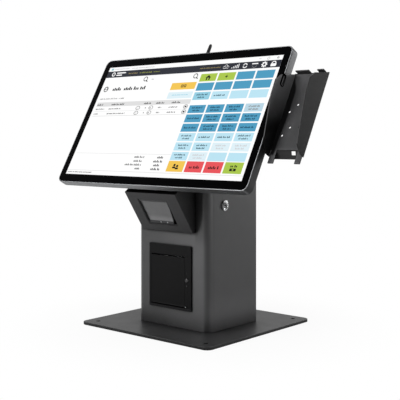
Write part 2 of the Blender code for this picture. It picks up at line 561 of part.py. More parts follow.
def screen_front(axis):
    half, low, high = GLASS_HALF_WIDTH, GLASS_BOTTOM, GLASS_TOP
    rim = RIM
    outer = rounded(-half - rim, low - rim, half + rim, high + rim, GLASS_RADIUS + rim, 8)
    pocket = rounded(-half - GAP, low - GAP, half + GAP, high + GAP, GLASS_RADIUS + GAP, 8)
    throat = rectangle(-half + 0.009, low + 0.009, half - 0.009, high - 0.009)
    button = prism(circle(0.205, behind(0.0110), 0.0030, 16), "Z", low - 0.004, low + 0.011)
    part("screen_frame", prism(outer, "Y", behind(0.0), behind(FRAME_DEPTH)), "satin_rim", parent=axis,
         bevel=0.0012,
         cut=([prism(pocket, "Y", behind(-0.002), behind(GLASS_THICK + GAP))],
              [prism(throat, "Y", behind(-0.004), behind(FRAME_DEPTH + 0.002))], [button]))
    glass = rounded(-half, low, half, high, GLASS_RADIUS, 8)
    part("touch_glass", prism(glass, "Y", behind(0.0001), behind(GLASS_THICK)), "screen_glass",
         parent=axis)
    lcd_x, lcd_z = ACTIVE_WIDTH / 2 + LCD_BORDER, ACTIVE_HEIGHT / 2 + LCD_BORDER
    part("lcd_panel", block((-lcd_x, behind(GLASS_THICK + GAP), -lcd_z), (lcd_x, behind(0.0150), lcd_z)),
         "display_module", parent=axis)
    place = Vector((0.205, behind(0.0110), low))
    button = [(low - rim - 0.0008, 0.0020), (low - rim - 0.0003, 0.0026), (low + 0.006, 0.0026)]
    part("power_button", turned(button, "Z", place, 16), "black_plastic", parent=axis, origin=place)


def arm_screws():
    return [(0.225, ARM_LOW + 0.010), (0.225, ARM_HIGH - 0.010)]


def rear_cover(axis, vesa_places):
    half, low, high = GLASS_HALF_WIDTH - COVER_INSET, GLASS_BOTTOM + COVER_INSET, GLASS_TOP - COVER_INSET
    start, step, back = behind(FRAME_DEPTH + GAP), behind(FRAME_DEPTH + COVER_STEP), behind(BULGE_DEPTH)
    bulge = (-BULGE_HALF_WIDTH, BULGE_BOTTOM, BULGE_HALF_WIDTH, BULGE_TOP)
    grow = (-BULGE_DRAFT, -BULGE_DRAFT, BULGE_DRAFT, 0.0)
    wide = rounded(*[b + g for b, g in zip(bulge, grow)], 0.016, 4)
    narrow = rounded(*bulge, 0.010, 4)
    w = COVER_WALL
    inside = (w, w, -w, -w)
    wide_in = rounded(*[b + g + i for b, g, i in zip(bulge, grow, inside)], 0.014, 4)
    narrow_in = rounded(*[b + i for b, i in zip(bulge, inside)], 0.008, 4)
    pan = prism(rounded(-half + w, low + w, half - w, high - w, 0.008, 4), "Y",
                start - 0.01, step - w)
    cavity = prism(wide_in, "Y", step - w - 0.001, back - w, narrow_in)
    vents = [prism(rectangle(x, 0.070, x + 0.005, 0.100), "Y", back - 0.006, back + 0.002)
             for x in [-0.132 + 0.013 * i for i in range(21)]]
    ports = prism(rectangle(-0.0903, behind(0.0277), 0.0503, behind(0.0403)), "Z", BULGE_BOTTOM - 0.02,
                  BULGE_BOTTOM + 0.010)
    screws = [prism(circle(x, z, 0.0023, 12), "Y", back - 0.004, back + 0.002) for x, z in vesa_places]
    fixings = [prism(circle(x, z, 0.0018, 12), "Y", step - 0.004, step + 0.002)
               for x, z in arm_screws()]
    aerial = prism(circle(ANTENNA_X, behind(ANTENNA_BEHIND), 0.0035, 16), "Z", BULGE_TOP - 0.006,
                   BULGE_TOP + 0.002)
    part("rear_cover", prism(rounded(-half, low, half, high, 0.010, 6), "Y", start, step),
         "black_plastic", parent=axis, bevel=0.0015,
         add=(prism(wide, "Y", step - 0.001, back, narrow),),
         cut=([pan], [cavity], vents + screws + fixings + [aerial], [ports]))
    part("io_panel", block((-0.0900, behind(0.0280), BULGE_BOTTOM - 0.0052),
                           (0.0500, behind(0.0400), BULGE_BOTTOM + 0.0075)), "zinc", parent=axis,
         cut=([block((x, behind(0.0305), -0.12), (x + 0.013, behind(0.0375), BULGE_BOTTOM + 0.004))
               for x in [-0.084 + 0.022 * i for i in range(6)]],))


def screen_inside(axis):
    part("main_board", block((-0.110, behind(0.0255), -0.080), (0.090, behind(0.0271), 0.085)),
         "circuit_green", parent=axis)
    fins = []
    count, pitch, fin, left = 9, 0.008, 0.002, -0.033
    low, top, base = behind(0.0275), behind(0.0400), behind(0.0305)
    for i in range(count):
        x = left + pitch * i
        fins += [(x, base), (x, top), (x + fin, top), (x + fin, base)]
    outline = [(left, low)] + fins[1:-1] + [(fins[-1][0], low)]
    part("heat_sink", prism(outline, "Z", -0.030, 0.040), "aluminium", parent=axis)


def antenna(axis):
    x, y = ANTENNA_X, behind(ANTENNA_BEHIND)
    foot = BULGE_TOP
    nut = [(foot - 0.0050, 0.0030), (foot + GAP, 0.0030), (foot + GAP, 0.0050), (foot + 0.0085, 0.0050),
           (foot + 0.0090, 0.0042)]
    part("antenna_socket", turned(nut, "Z", (x, y, 0), 24), "chrome", parent=axis)
    shoulder, top = foot + 0.0093, ANTENNA_FOLD - 0.0055
    swivel = turned([(shoulder, 0.0046), (top, 0.0048)], "Z", (x, y, 0), 24)
    tongue = ([(y + 0.0040, top - 0.001), (y + 0.0040, ANTENNA_FOLD)]
              + arc(y, ANTENNA_FOLD, 0.0040, 15, 180, 8) + [(y - 0.0040, top - 0.001)])
    part("antenna_knuckle", swivel, "rubber", parent=axis, origin=(x, y, ANTENNA_FOLD),
         add=(prism(tongue, "X", x - 0.0016, x + 0.0016),))
    cheek = ([(y + 0.0046, ANTENNA_FOLD + 0.0075), (y - 0.0046, ANTENNA_FOLD + 0.0075)]
             + arc(y, ANTENNA_FOLD, 0.0046, 180, 360, 10))
    cheeks = [prism(cheek, "X", x + side, x + side + 0.0026) for side in (-0.0045, 0.0019)]
    tip = ANTENNA_TIP
    whip = [(ANTENNA_FOLD + 0.0050, 0.0048), (ANTENNA_FOLD + 0.020, 0.0048), (tip - 0.006, 0.0034),
            (tip - 0.002, 0.0029), (tip - 0.0005, 0.0018), (tip, 0.0006)]
    part("antenna_whip", turned(whip, "Z", (x, y, 0), 24), "rubber", parent=axis,
         origin=(x, y, ANTENNA_FOLD), add=cheeks)


# ---------------------------------------------------------------- payment cradle

def flange_outline():
    """Side view of one flange: (local y, up the screen), web at its back."""
    web_back = WEB_FRONT + SHEET
    points = [(web_back, WEB_TOP), (-0.0170, 0.0785), (-0.0275, 0.0620), (-0.0265, 0.0300),
              (-0.0050, -0.0600), (0.0120, -0.0718), (web_back, -0.0718)]
    return [(behind(distance), height) for distance, height in points]


def cradle(axis):
    left, right, sheet = CRADLE_LEFT, CRADLE_RIGHT, SHEET
    web_y = (behind(WEB_FRONT), behind(WEB_FRONT + sheet))
    web = block((left, web_y[0], WEB_BOTTOM), (right, web_y[1], WEB_TOP))
    flanges = [prism(flange_outline(), "X", x, x + sheet) for x in (left, right - sheet)]
    feet = [block((x, web_y[0], FOOT_BOTTOM), (x + FOOT_WIDTH, web_y[1], WEB_BOTTOM + 0.001))
            for x in (left + FOOT_INSET, right - FOOT_INSET - FOOT_WIDTH)]
    tabs = [block((x0, behind(WEB_FRONT - 0.0115), WEB_TOP - sheet), (x1, web_y[1], WEB_TOP))
            for x0, x1 in ((left + 0.008, left + 0.038), (right - 0.0195, right - 0.0055))]
    lip_turn = math.radians(36)
    along = Vector((math.sin(lip_turn), -math.cos(lip_turn))) * 0.0176
    side = Vector((math.cos(lip_turn), math.sin(lip_turn))) * sheet
    start = Vector((web_y[0], WEB_BOTTOM + 0.0006))
    lip = [tuple(start), tuple(start + along), tuple(start + along + side), tuple(start + side)]
    lip_x = (left + 0.0055, right - FOOT_INSET - FOOT_WIDTH - 0.0010)
    holes = [prism(circle(CRADLE_MIDDLE + dx, z, 0.00225, 16), "Y", web_y[0] - 0.004, web_y[1] + 0.004)
             for dx, z in ((-0.0085, 0.036), (0.0085, 0.036), (-0.0222, 0.021), (0.0222, 0.021),
                           (-0.0105, -0.012), (0.0105, -0.012), (-0.0222, -0.0285), (0.0222, -0.0285))]
    slot = prism(rounded(behind(-0.0095), 0.0600, behind(-0.0035), 0.0820, 0.0029, 4), "X",
                 left - 0.001, left + sheet + 0.001)
    notch = block((right - FOOT_INSET - FOOT_WIDTH - 0.0153, web_y[0] - 0.003, WEB_BOTTOM - 0.0072),
                  (right - FOOT_INSET - FOOT_WIDTH - 0.0060, web_y[1] + 0.012, WEB_BOTTOM - 0.0008))
    part("cradle", web, "black_coat", parent=axis, smooth=False,
         add=[*flanges, *feet, *tabs, prism(lip, "X", *lip_x)], cut=(holes + [slot], [notch]))
    arm_y = behind(FRAME_DEPTH + COVER_STEP + GAP)
    arm_holes = [prism(circle(x, z, 0.0018, 12), "Y", arm_y - 0.002, arm_y + 0.01)
                 for x, z in arm_screws()]
    part("cradle_arm", prism(rounded(ARM_LEFT, ARM_LOW, ARM_RIGHT, ARM_HIGH, 0.004, 3), "Y", arm_y,
                             arm_y + ARM_THICK), "black_coat", parent=axis, cut=(arm_holes,))
    for number, (x, z) in enumerate(arm_screws(), 1):
        screw(f"arm_screw_{number}", (x, arm_y + ARM_THICK + GAP, z), "Y", -1, "zinc", axis,
              head=(0.0032, 0.0020), shank=(0.0015, 0.0085))


def main():
    clear_scene()
    base_plate()
    mast()
    column()
    rear_panel()
    lock()
    scanner()
    printer_bezel()
    printer_door()
    printer_works()
    tilt_bracket()
    axis = empty("tilt_axis", hinge_point(), -TILT)
    places = vesa_plate(axis)
    screen_front(axis)
    rear_cover(axis, places)
    screen_inside(axis)
    antenna(axis)
    cradle(axis)


main()
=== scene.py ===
"""Looks of the point-of-sale terminal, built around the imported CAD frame.

Metres, +Z up. The user stands at -Y and the payment cradle is at +X. CAD nodes keep their
shape and get softened edges and procedural materials; small pieces are rebuilt in detail.
"""
import json
import math

import bpy
from mathutils import Matrix, Vector

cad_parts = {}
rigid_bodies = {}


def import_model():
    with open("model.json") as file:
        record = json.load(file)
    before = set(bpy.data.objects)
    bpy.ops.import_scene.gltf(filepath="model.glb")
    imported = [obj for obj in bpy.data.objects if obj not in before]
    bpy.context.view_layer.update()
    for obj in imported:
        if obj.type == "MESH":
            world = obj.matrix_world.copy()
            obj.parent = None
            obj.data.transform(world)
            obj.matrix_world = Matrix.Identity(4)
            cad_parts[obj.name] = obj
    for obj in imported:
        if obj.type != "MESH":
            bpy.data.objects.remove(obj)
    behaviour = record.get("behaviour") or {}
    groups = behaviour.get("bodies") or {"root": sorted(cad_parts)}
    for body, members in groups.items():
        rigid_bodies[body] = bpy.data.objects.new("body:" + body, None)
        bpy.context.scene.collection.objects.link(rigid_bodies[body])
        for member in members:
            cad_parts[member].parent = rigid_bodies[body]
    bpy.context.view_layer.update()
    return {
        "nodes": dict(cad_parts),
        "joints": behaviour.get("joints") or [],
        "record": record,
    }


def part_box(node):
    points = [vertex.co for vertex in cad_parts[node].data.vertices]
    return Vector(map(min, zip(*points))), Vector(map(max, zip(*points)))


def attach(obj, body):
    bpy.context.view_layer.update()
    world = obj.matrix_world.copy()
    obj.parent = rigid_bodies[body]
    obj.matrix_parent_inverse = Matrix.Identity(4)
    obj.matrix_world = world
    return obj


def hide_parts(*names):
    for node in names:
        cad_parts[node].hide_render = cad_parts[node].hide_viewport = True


for leftover in list(bpy.data.objects):
    bpy.data.objects.remove(leftover, do_unlink=True)
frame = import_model()

MM = 0.001
SHARP_ANGLE = math.radians(35)
WELD = 0.00001
HOOD_LEAN = math.radians(34)     # slope of the scanner hood's face

# Camera: level, with the horizon above the middle of the picture
CAMERA_AT = (1.1705, -1.3502, 0.3921)
CAMERA_TURN = math.radians(40.73)
CAMERA_LENS, SENSOR = 76.64, 36.0
CAMERA_SHIFT = -0.1593
SKY_DIM, SKY_BRIGHT = 0.07, 0.62     # the surround as a light, in front and behind
BRIGHT_SIDE = (-0.62, 0.78, 0.10)    # from the object towards the bright part of the surround
BLACK_SHINE = 0.12                   # specular level of the black plastic
FLOOR_GLOW = 0.10                    # the floor's own light on the object
FLOOR_SEEN = 0.93                    # the floor's level under the object; it is white further out
FLOOR_FADE = (0.15, 0.45)            # distances from the origin between which it turns white

DISPLAY_WIDTH, DISPLAY_HEIGHT = 476.6, 268.1   # the lit picture, in millimetres
PICTURE_LIFT, LAYER_GAP = 0.00006, 0.00008     # its lowest layer over the glass, and between layers
CURVE_STEPS = 28                               # sides of a disc or a ring in the picture


# ---------------- the screen's own frame

def joint(name):
    """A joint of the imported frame, by its name."""
    return next(item for item in frame["joints"] if item["name"] == name)


HINGE = Vector(joint("screen_tilt")["pos_m"])
UP_SCREEN = Vector(joint("antenna_swivel")["axis"])
TILT = math.atan2(UP_SCREEN.y, UP_SCREEN.z)
SCREEN = Matrix.Translation(HINGE) @ Matrix.Rotation(-TILT, 4, "X")
WORLD = Matrix.Identity(4)


def local_box(node, place):
    """Lowest and highest corner of a CAD node in a placed frame's own directions."""
    back = place.inverted()
    points = [back @ vertex.co for vertex in frame["nodes"][node].data.vertices]
    low = Vector([min(p[i] for p in points) for i in range(3)])
    high = Vector([max(p[i] for p in points) for i in range(3)])
    return low, high


def facing(origin, direction):
    """A frame at origin whose +Z points along direction."""
    turn = Vector((0, 0, 1)).rotation_difference(Vector(direction))
    return Matrix.Translation(origin) @ turn.to_matrix().to_4x4()


# ---------------- materials

def linear(value):
    """One 0 to 255 display value as scene-linear light."""
    share = value / 255
    return share / 12.92 if share <= 0.04045 else ((share + 0.055) / 1.055) ** 2.4


def colour(red, green=None, blue=None):
    """Display values as a linear colour. One value alone is a grey."""
    green = red if green is None else green
    blue = red if blue is None else blue
    return (linear(red), linear(green), linear(blue), 1.0)


def new_material(name):
    """A new material, its node tree and its shader."""
    made = bpy.data.materials.new(name)
    made.use_nodes = True
    return made, made.node_tree, made.node_tree.nodes["Principled BSDF"]


def noise(tree, scale, detail=2.0, stretch=(1, 1, 1)):
    """Smooth noise in the object's own space."""
    coordinate = tree.nodes.new("ShaderNodeTexCoord")
    mapping = tree.nodes.new("ShaderNodeMapping")
    mapping.inputs["Scale"].default_value = stretch
    texture = tree.nodes.new("ShaderNodeTexNoise")
    texture.inputs["Scale"].default_value = scale
    texture.inputs["Detail"].default_value = detail
    tree.links.new(coordinate.outputs["Object"], mapping.inputs["Vector"])
    tree.links.new(mapping.outputs["Vector"], texture.inputs["Vector"])
    return texture.outputs["Fac"]


def ramp(tree, value, start, end, low, high, kind="SMOOTHSTEP"):
    """A smooth change from low at start to high at end."""
    node = tree.nodes.new("ShaderNodeMapRange")
    node.interpolation_type = kind
    for name, limit in (("From Min", start), ("From Max", end), ("To Min", low), ("To Max", high)):
        node.inputs[name].default_value = limit
    tree.links.new(value, node.inputs["Value"])
    return node.outputs["Result"]


def spread(tree, value, low, high):
    """Noise is mostly 0.3 to 0.7, so that stretch is mapped to low..high."""
    return ramp(tree, value, 0.3, 0.7, low, high, "LINEAR")


def tinted(tree, base, factor):
    """A colour, or a colour socket, multiplied by a varying factor."""
    node = tree.nodes.new("ShaderNodeVectorMath")
    node.operation = "SCALE"
    if isinstance(base, tuple):
        node.inputs[0].default_value = base[:3]
    else:
        tree.links.new(base, node.inputs[0])
    tree.links.new(factor, node.inputs["Scale"])
    return node.outputs["Vector"]


def bump(tree, shader, heights, strength, distance):
    """Fine relief on a shader's surface."""
    node = tree.nodes.new("ShaderNodeBump")
    node.inputs["Strength"].default_value = strength
    node.inputs["Distance"].default_value = distance
    tree.links.new(heights, node.inputs["Height"])
    tree.links.new(node.outputs["Normal"], shader.inputs["Normal"])


def combined(tree, operation, *values):
    """One mathematical operation on one or two values."""
    node = tree.nodes.new("ShaderNodeMath")
    node.operation = operation
    for value, socket in zip(values, node.inputs):
        tree.links.new(value, socket)
    return node.outputs["Value"]


def multiplied(tree, *factors):
    """The product of two or more values."""
    product = factors[0]
    for factor in factors[1:]:
        product = combined(tree, "MULTIPLY", product, factor)
    return product


def painted_corner_shade(tree, reach, darkest):
    """Painted shade: 1 in the open, falling to darkest in corners narrower than reach."""
    node = tree.nodes.new("ShaderNodeAmbientOcclusion")
    node.samples = 8
    node.inputs["Distance"].default_value = reach
    return ramp(tree, node.outputs["AO"], 0.25, 0.95, darkest, 1.0)


def finish(name, base, roughness, metallic=0.0, grain=1800, depth=0.00006, strength=0.35, mottle=45,
           vary=0.06, specular=0.5, coat=0.0, stretch=(1, 1, 1), painted_shade=None):
    """A surface with a fine grain in relief and slow changes of tone and gloss.

    The last argument gives the reach and the darkest tone of the shade painted into its corners.
    """
    made, tree, shader = new_material(name)
    shader.inputs["Metallic"].default_value = metallic
    shader.inputs["Specular IOR Level"].default_value = specular
    shader.inputs["Coat Weight"].default_value = coat
    shader.inputs["Coat Roughness"].default_value = 0.12
    slow = noise(tree, mottle, 3.0, stretch)
    fine = noise(tree, grain, 3.0, stretch)
    tone = spread(tree, slow, 1 - vary, 1 + vary)
    # Painted shade: colour and specular level fall in corners that ambient occlusion finds
    if painted_shade:
        shade = painted_corner_shade(tree, *painted_shade)
        tone = multiplied(tree, tone, shade)
        tree.links.new(ramp(tree, shade, 0.0, 1.0, 0.0, specular), shader.inputs["Specular IOR Level"])
    tree.links.new(tinted(tree, base, tone), shader.inputs["Base Color"])
    gloss = spread(tree, slow, roughness * (1 - vary), roughness * (1 + vary))
    tree.links.new(gloss, shader.inputs["Roughness"])
    bump(tree, shader, fine, strength, depth)
    return made


def lit(name, base, level=1.0):
    """A lit part of the display's picture, under glass, with a slightly uneven backlight."""
    made, tree, shader = new_material(name)
    shader.inputs["Base Color"].default_value = (0.004, 0.004, 0.005, 1)
    shader.inputs["Roughness"].default_value = 0.12
    shader.inputs["Emission Strength"].default_value = level
    backlight = spread(tree, noise(tree, 6), 0.985, 1.015)
    tree.links.new(tinted(tree, base, backlight), shader.inputs["Emission Color"])
    return made


def blended(tree, one, other, share):
    """Value one where share is 0 and value other where it is 1."""
    node = tree.nodes.new("ShaderNodeMix")
    node.data_type = "FLOAT"
    tree.links.new(share, node.inputs["Factor"])
    for value, name in ((one, "A"), (other, "B")):
        if isinstance(value, float):
            node.inputs[name].default_value = value
        else:
            tree.links.new(value, node.inputs[name])
    return node.outputs["Result"]


def parts_of(tree, output):
    """Texture coordinates of one kind, split into X, Y and Z."""
    coordinate = tree.nodes.new("ShaderNodeTexCoord")
    split = tree.nodes.new("ShaderNodeSeparateXYZ")
    tree.links.new(coordinate.outputs[output], split.inputs["Vector"])
    return split.outputs["X"], split.outputs["Y"], split.outputs["Z"]


def toned(made, factor):
    """Multiplies a finished material's colour by a factor of its own node tree."""
    tree, base = made.node_tree, made.node_tree.nodes["Principled BSDF"].inputs["Base Color"]
    tree.links.new(tinted(tree, base.links[0].from_socket, factor), base)
    return made


def rim():
    """Satin grey with painted light: the lower edge is painted brighter to the left and the right side
    brighter upwards.
    """
    made = finish("satin_grey_rim", colour(130, 131, 133), 0.34, metallic=0.75, grain=3000, depth=0.00001,
                  strength=0.03, mottle=70, vary=0.05, stretch=(0.15, 1, 1))
    tree = made.node_tree
    x, _, z = parts_of(tree, "Object")
    across, _, _ = parts_of(tree, "Normal")
    lower = ramp(tree, x, 0.15, -0.05, 0.73, 1.32)
    side = ramp(tree, z, 0.36, 0.56, 0.175, 0.54)
    return toned(made, blended(tree, lower, side, ramp(tree, across, 0.4, 0.7, 0.0, 1.0)))


def cradle_coat():
    """Powder coat with painted light and shade: the web is painted light, the lip and flanges dark, the
    left one lighter at its top.

    A painted shadow of the left flange lies on the web beside it, narrower at the top and ending at the
    feet. The flange's own front edge, the sheet's cut edge, has a painted highlight.
    """
    made = finish("cradle_powder_coat", colour(62, 62, 63), 0.42, grain=1600, depth=0.00010, strength=0.55,
                  mottle=34, vary=0.07, specular=0.22)
    tree = made.node_tree
    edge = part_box("cradle")[0].x
    x, _, z = parts_of(tree, "Object")
    across, _, up = parts_of(tree, "Normal")
    on_flange = ramp(tree, across, 0.4, 0.7, 0.0, 1.0)
    on_right = ramp(tree, x, 0.28, 0.31, 0.0, 1.0)
    # Painted light and shade on the flanges: the left one dark low down and light at its top, the right one
    # dark
    left = ramp(tree, z, 0.405, 0.50, 0.12, 5.0)
    flanges = blended(tree, left, 0.25, on_right)
    # Painted light on the web towards its top and at its feet
    high = multiplied(tree, ramp(tree, z, 0.45, 0.53, 1.0, 1.6), ramp(tree, z, 0.375, 0.36, 1.0, 1.5))
    # Painted shadow of the left flange on the web, as wide as reach
    reach = combined(tree, "SUBTRACT", ramp(tree, z, 0.372, 0.440, 0.010, 0.014),
                     ramp(tree, z, 0.472, 0.506, 0.0, 0.0105))
    shade = ramp(tree, combined(tree, "SUBTRACT", x, reach), edge - 0.001, edge + 0.003, 0.12, 1.0)
    shade = blended(tree, 1.0, shade, ramp(tree, z, 0.356, 0.361, 0.0, 1.0))
    # Painted light on the web just beyond that shadow
    beside = blended(tree, 1.0, ramp(tree, x, edge + 0.020, edge + 0.044, 1.45, 1.0),
                     ramp(tree, z, 0.375, 0.400, 0.0, 1.0))
    # Painted light on faces turned upwards, such as the web, and painted shade on the others, such as the
    # lip
    web = multiplied(tree, ramp(tree, up, 0.15, 0.40, 0.28, 1.45), high, shade, beside)
    # Painted highlight on the left flange's cut front edge
    cut_edge_painted_highlight = multiplied(tree, ramp(tree, x, edge + 0.0019, edge + 0.0022, 1.0, 0.0),
                          ramp(tree, z, 0.492, 0.478, 0.0, 1.0), ramp(tree, z, 0.385, 0.395, 0.0, 1.0))
    web = blended(tree, web, 2.4, cut_edge_painted_highlight)
    # Shine is lower on the right flange and falls within the painted shadow
    gloss = blended(tree, 0.22, 0.08, multiplied(tree, on_flange, on_right))
    shaded = multiplied(tree, gloss, shade)
    tree.links.new(blended(tree, shaded, gloss, on_flange),
                   tree.nodes["Principled BSDF"].inputs["Specular IOR Level"])
    return toned(made, blended(tree, web, flanges, on_flange))


def hood_coat():
    """Powder coat with painted shade: darker on the hood's sides than on its sloping face, and in its
    corners.
    """
    made = finish("hood_powder_coat", colour(52, 52, 53), 0.45, grain=1700, depth=0.00008, strength=0.45,
                  mottle=38, vary=0.06, specular=0.25, painted_shade=(0.12, 0.05))
    across, _, _ = parts_of(made.node_tree, "Normal")
    return toned(made, ramp(made.node_tree, across, 0.4, 0.7, 1.0, 0.45))


def column_coat():
    """Powder coat on the column with painted light and shade: a painted dark band and a painted light band
    run down its rounded corner, and shade is painted into its corners.
    """
    made = finish("column_powder_coat", colour(75, 75, 76), 0.34, grain=1500, depth=0.00009, strength=0.5,
                  mottle=30, vary=0.05, painted_shade=(0.055, 0.26))
    tree = made.node_tree
    x, _, z = parts_of(tree, "Object")
    across, along, _ = parts_of(tree, "Normal")
    # Painted shadow on the column's front: a dark band under the hood and a softer shade beside and above
    # it
    under_hood = ramp(tree, z, 0.1940, 0.1990, 1.0, 0.36)
    beside_hood = ramp(tree, z, 0.165, 0.215, 1.0, 0.40)
    # Painted light on the front: brighter towards its right, darker at its foot
    front = multiplied(tree, ramp(tree, x, -0.075, 0.06, 0.80, 1.28), ramp(tree, z, 0.05, 0.01, 1.0, 0.85),
                       blended(tree, under_hood, beside_hood, ramp(tree, x, 0.058, 0.066, 0.0, 1.0)))
    # Painted light on the side: brighter towards its foot
    side = ramp(tree, z, 0.095, 0.03, 0.80, 1.30)
    # Painted shade and painted highlight: a dark band, then a light band, down the rounded corner
    dark, light = 0.62, 1.85
    corner = multiplied(tree, ramp(tree, across, 0.05, 0.5, 1.0, dark),
                        ramp(tree, across, 0.60, 0.94, 1.0, light),
                        ramp(tree, across, 0.96, 0.999, 1.0, 1 / (dark * light)))
    faces = blended(tree, 0.85, front, ramp(tree, along, -0.2, -0.7, 0.0, 1.0))
    faces = blended(tree, faces, side, ramp(tree, across, 0.2, 0.8, 0.0, 1.0))
    return toned(made, multiplied(tree, corner, faces))


def base_coat():
    """Powder coat with painted light, paler towards the plate's back right, and with shade painted into its
    corners.
    """
    made = finish("base_powder_coat", colour(56, 56, 57), 0.40, grain=1500, depth=0.00010, strength=0.5,
                  mottle=30, vary=0.06, specular=0.55, painted_shade=(0.10, 0.15))
    tree = made.node_tree
    x, y, _ = parts_of(tree, "Object")
    back = ramp(tree, y, -0.06, 0.05, 1.0, 2.0)
    return toned(made, blended(tree, 1.0, back, ramp(tree, x, 0.0, 0.08, 0.0, 1.0)))


def lock_chrome():
    """Chrome with a painted reflection: its ring is painted bright above and below the keyway and dark
    beside it.
    """
    made = finish("lock_chrome", colour(246, 247, 248), 0.16, metallic=1.0, grain=700, depth=0.000006,
                  strength=0.1, mottle=90, vary=0.10)
    tree = made.node_tree
    x, y, _ = parts_of(tree, "Object")
    aside = combined(tree, "SINE", combined(tree, "ARCTAN2", y, x))
    return toned(made, multiplied(tree, ramp(tree, aside, -0.30, -0.75, 1.0, 0.10),
                                  ramp(tree, aside, 0.50, 0.95, 1.0, 0.70)))


def window_pane():
    """Grey glass with painted light: paler along its lower edge."""
    made = finish("grey_window_glass", colour(96, 96, 97), 0.16, grain=300, depth=0.000008, strength=0.15,
                  mottle=40, vary=0.05)
    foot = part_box("scanner_window")[0].z
    _, _, z = parts_of(made.node_tree, "Object")
    return toned(made, ramp(made.node_tree, z, foot + 0.018, foot + 0.006, 1.0, 1.6))


def black_plastic(name):
    """Moulded plastic with hardly any shine."""
    return finish(name, colour(11, 11, 12), 0.46, grain=2600, depth=0.00005, mottle=60, vary=0.08,
                  specular=BLACK_SHINE)


def printer_plastic(name, lower, upper, below):
    """Black plastic whose tone is multiplied by below under two heights, counted from the door's foot:
    painted shade where below is under 1 and painted light where it is over 1.
    """
    made = black_plastic(name)
    tree = made.node_tree
    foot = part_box("printer_door")[0].z
    _, _, z = parts_of(tree, "Object")
    tree.links.new(ramp(tree, z, foot + lower, foot + upper, BLACK_SHINE * min(below, 1.5), BLACK_SHINE),
                   tree.nodes["Principled BSDF"].inputs["Specular IOR Level"])
    return toned(made, ramp(tree, z, foot + lower, foot + upper, below, 1.0))


def grey_plastic(name, grey, roughness):
    """The scanner's plastic."""
    return finish(name, grey, roughness, grain=2200, depth=0.00005, mottle=60, vary=0.06, specular=0.25)


def lens(name, tint, roughness):
    """A small lamp's or a reader's lens."""
    return finish(name, tint, roughness, grain=600, depth=0.00002, mottle=200, vary=0.08, coat=0.5)


def edge_of_glass():
    """A pale line that paints the highlight on the glass's edge; on the display's right it is painted dim
    above and bright towards the lower corner.
    """
    made = finish("glass_edge_painted_highlight", colour(176, 178, 181), 0.30, grain=900, depth=0.00001, mottle=30,
                  vary=0.08)
    tree = made.node_tree
    low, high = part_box("touch_glass")
    x, _, z = parts_of(tree, "Object")
    side = multiplied(tree, ramp(tree, z, low.z + 0.050, low.z + 0.080, 1.65, 1.15),
                      ramp(tree, z, high.z - 0.060, high.z - 0.045, 1.0, 0.40))
    return toned(made, blended(tree, 1.0, side, ramp(tree, x, high.x - 0.004, high.x - 0.001, 0.0, 1.0)))


LOOKS = {
    # The charcoal coat has shade painted into its corners
    "powder_coat": finish("charcoal_powder_coat", colour(75, 75, 76), 0.34, grain=1500, depth=0.00009,
                          strength=0.5, mottle=30, vary=0.05, painted_shade=(0.070, 0.26)),
    # The black coat has shade painted into its corners
    "black_coat": finish("black_powder_coat", colour(58, 58, 59), 0.45, grain=1700, depth=0.00008,
                         strength=0.45, mottle=38, vary=0.06, specular=0.35, painted_shade=(0.090, 0.10)),
    "hood_coat": hood_coat(),
    "base_coat": base_coat(),
    "cradle_coat": cradle_coat(),
    "black_plastic": black_plastic("black_moulded_plastic"),
    "satin_rim": rim(),
    "screen_glass": finish("black_backed_glass", colour(3, 3, 4), 0.08, grain=90, depth=0.000004,
                           strength=0.1, mottle=20, vary=0.10, specular=0.12),
    "column_coat": column_coat(),
    "glass_edge": edge_of_glass(),
    "window_glass": window_pane(),
    # Painted shadow along the door's foot, in the gap under it; painted light on the bezel's strip below
    # the door
    "door_plastic": printer_plastic("printer_door_plastic", 0.0022, 0.0030, 0.1),
    "bezel_plastic": printer_plastic("printer_bezel_plastic", -0.0008, -0.0002, 2.2),
    "zinc": finish("bright_zinc", colour(186, 188, 190), 0.30, metallic=1.0, grain=1400, depth=0.00003,
                   mottle=120, vary=0.10),
    "chrome": finish("polished_chrome", colour(225, 226, 228), 0.10, metallic=1.0, grain=700,
                     depth=0.000006, strength=0.1, mottle=90, vary=0.10),
    "rubber": finish("black_rubber", colour(22, 22, 22), 0.62, grain=2200, depth=0.00008, mottle=80,
                     vary=0.10),
    "circuit_green": finish("circuit_board", colour(22, 92, 52), 0.38, grain=420, depth=0.0002,
                            mottle=160, vary=0.18),
    "aluminium": finish("plain_aluminium", colour(196, 198, 200), 0.36, metallic=1.0, grain=900,
                        depth=0.00003, mottle=70, vary=0.07, stretch=(1, 1, 0.05)),
    "display_module": finish("display_module_steel", colour(170, 171, 173), 0.40, metallic=0.8,
                             grain=800, depth=0.00003, mottle=60),
    "paper": finish("thermal_paper", colour(232, 231, 226), 0.72, grain=1300, depth=0.00006,
                    mottle=25, vary=0.03, stretch=(14, 1, 1)),
    "frame_plastic": grey_plastic("window_frame_plastic", colour(52, 52, 53), 0.45),
    "scanner_grey": grey_plastic("scanner_grey_plastic", colour(58, 58, 59), 0.42),
    # Near-black with no shine: painted shade in gaps, slots and recesses
    "dark_recess": finish("dark_recess", colour(4, 4, 4), 0.80, grain=1500, mottle=60, vary=0.15,
                          specular=0.0),
    "lock_chrome": lock_chrome(),
    "lock_core": finish("dull_nickel", colour(112, 112, 113), 0.34, metallic=1.0, grain=1400, depth=0.00002,
                        mottle=200, vary=0.12),
    "glossy_button": finish("glossy_black_button", colour(26, 26, 27), 0.16, grain=900,
                            depth=0.00001, strength=0.2, mottle=150, vary=0.08, coat=0.6),
    "clear_lens": lens("clear_lamp_lens", colour(206, 208, 210), 0.14),
    "smoked_lens": lens("smoked_lamp_lens", colour(14, 14, 16), 0.20),
}


# ---------------- CAD nodes

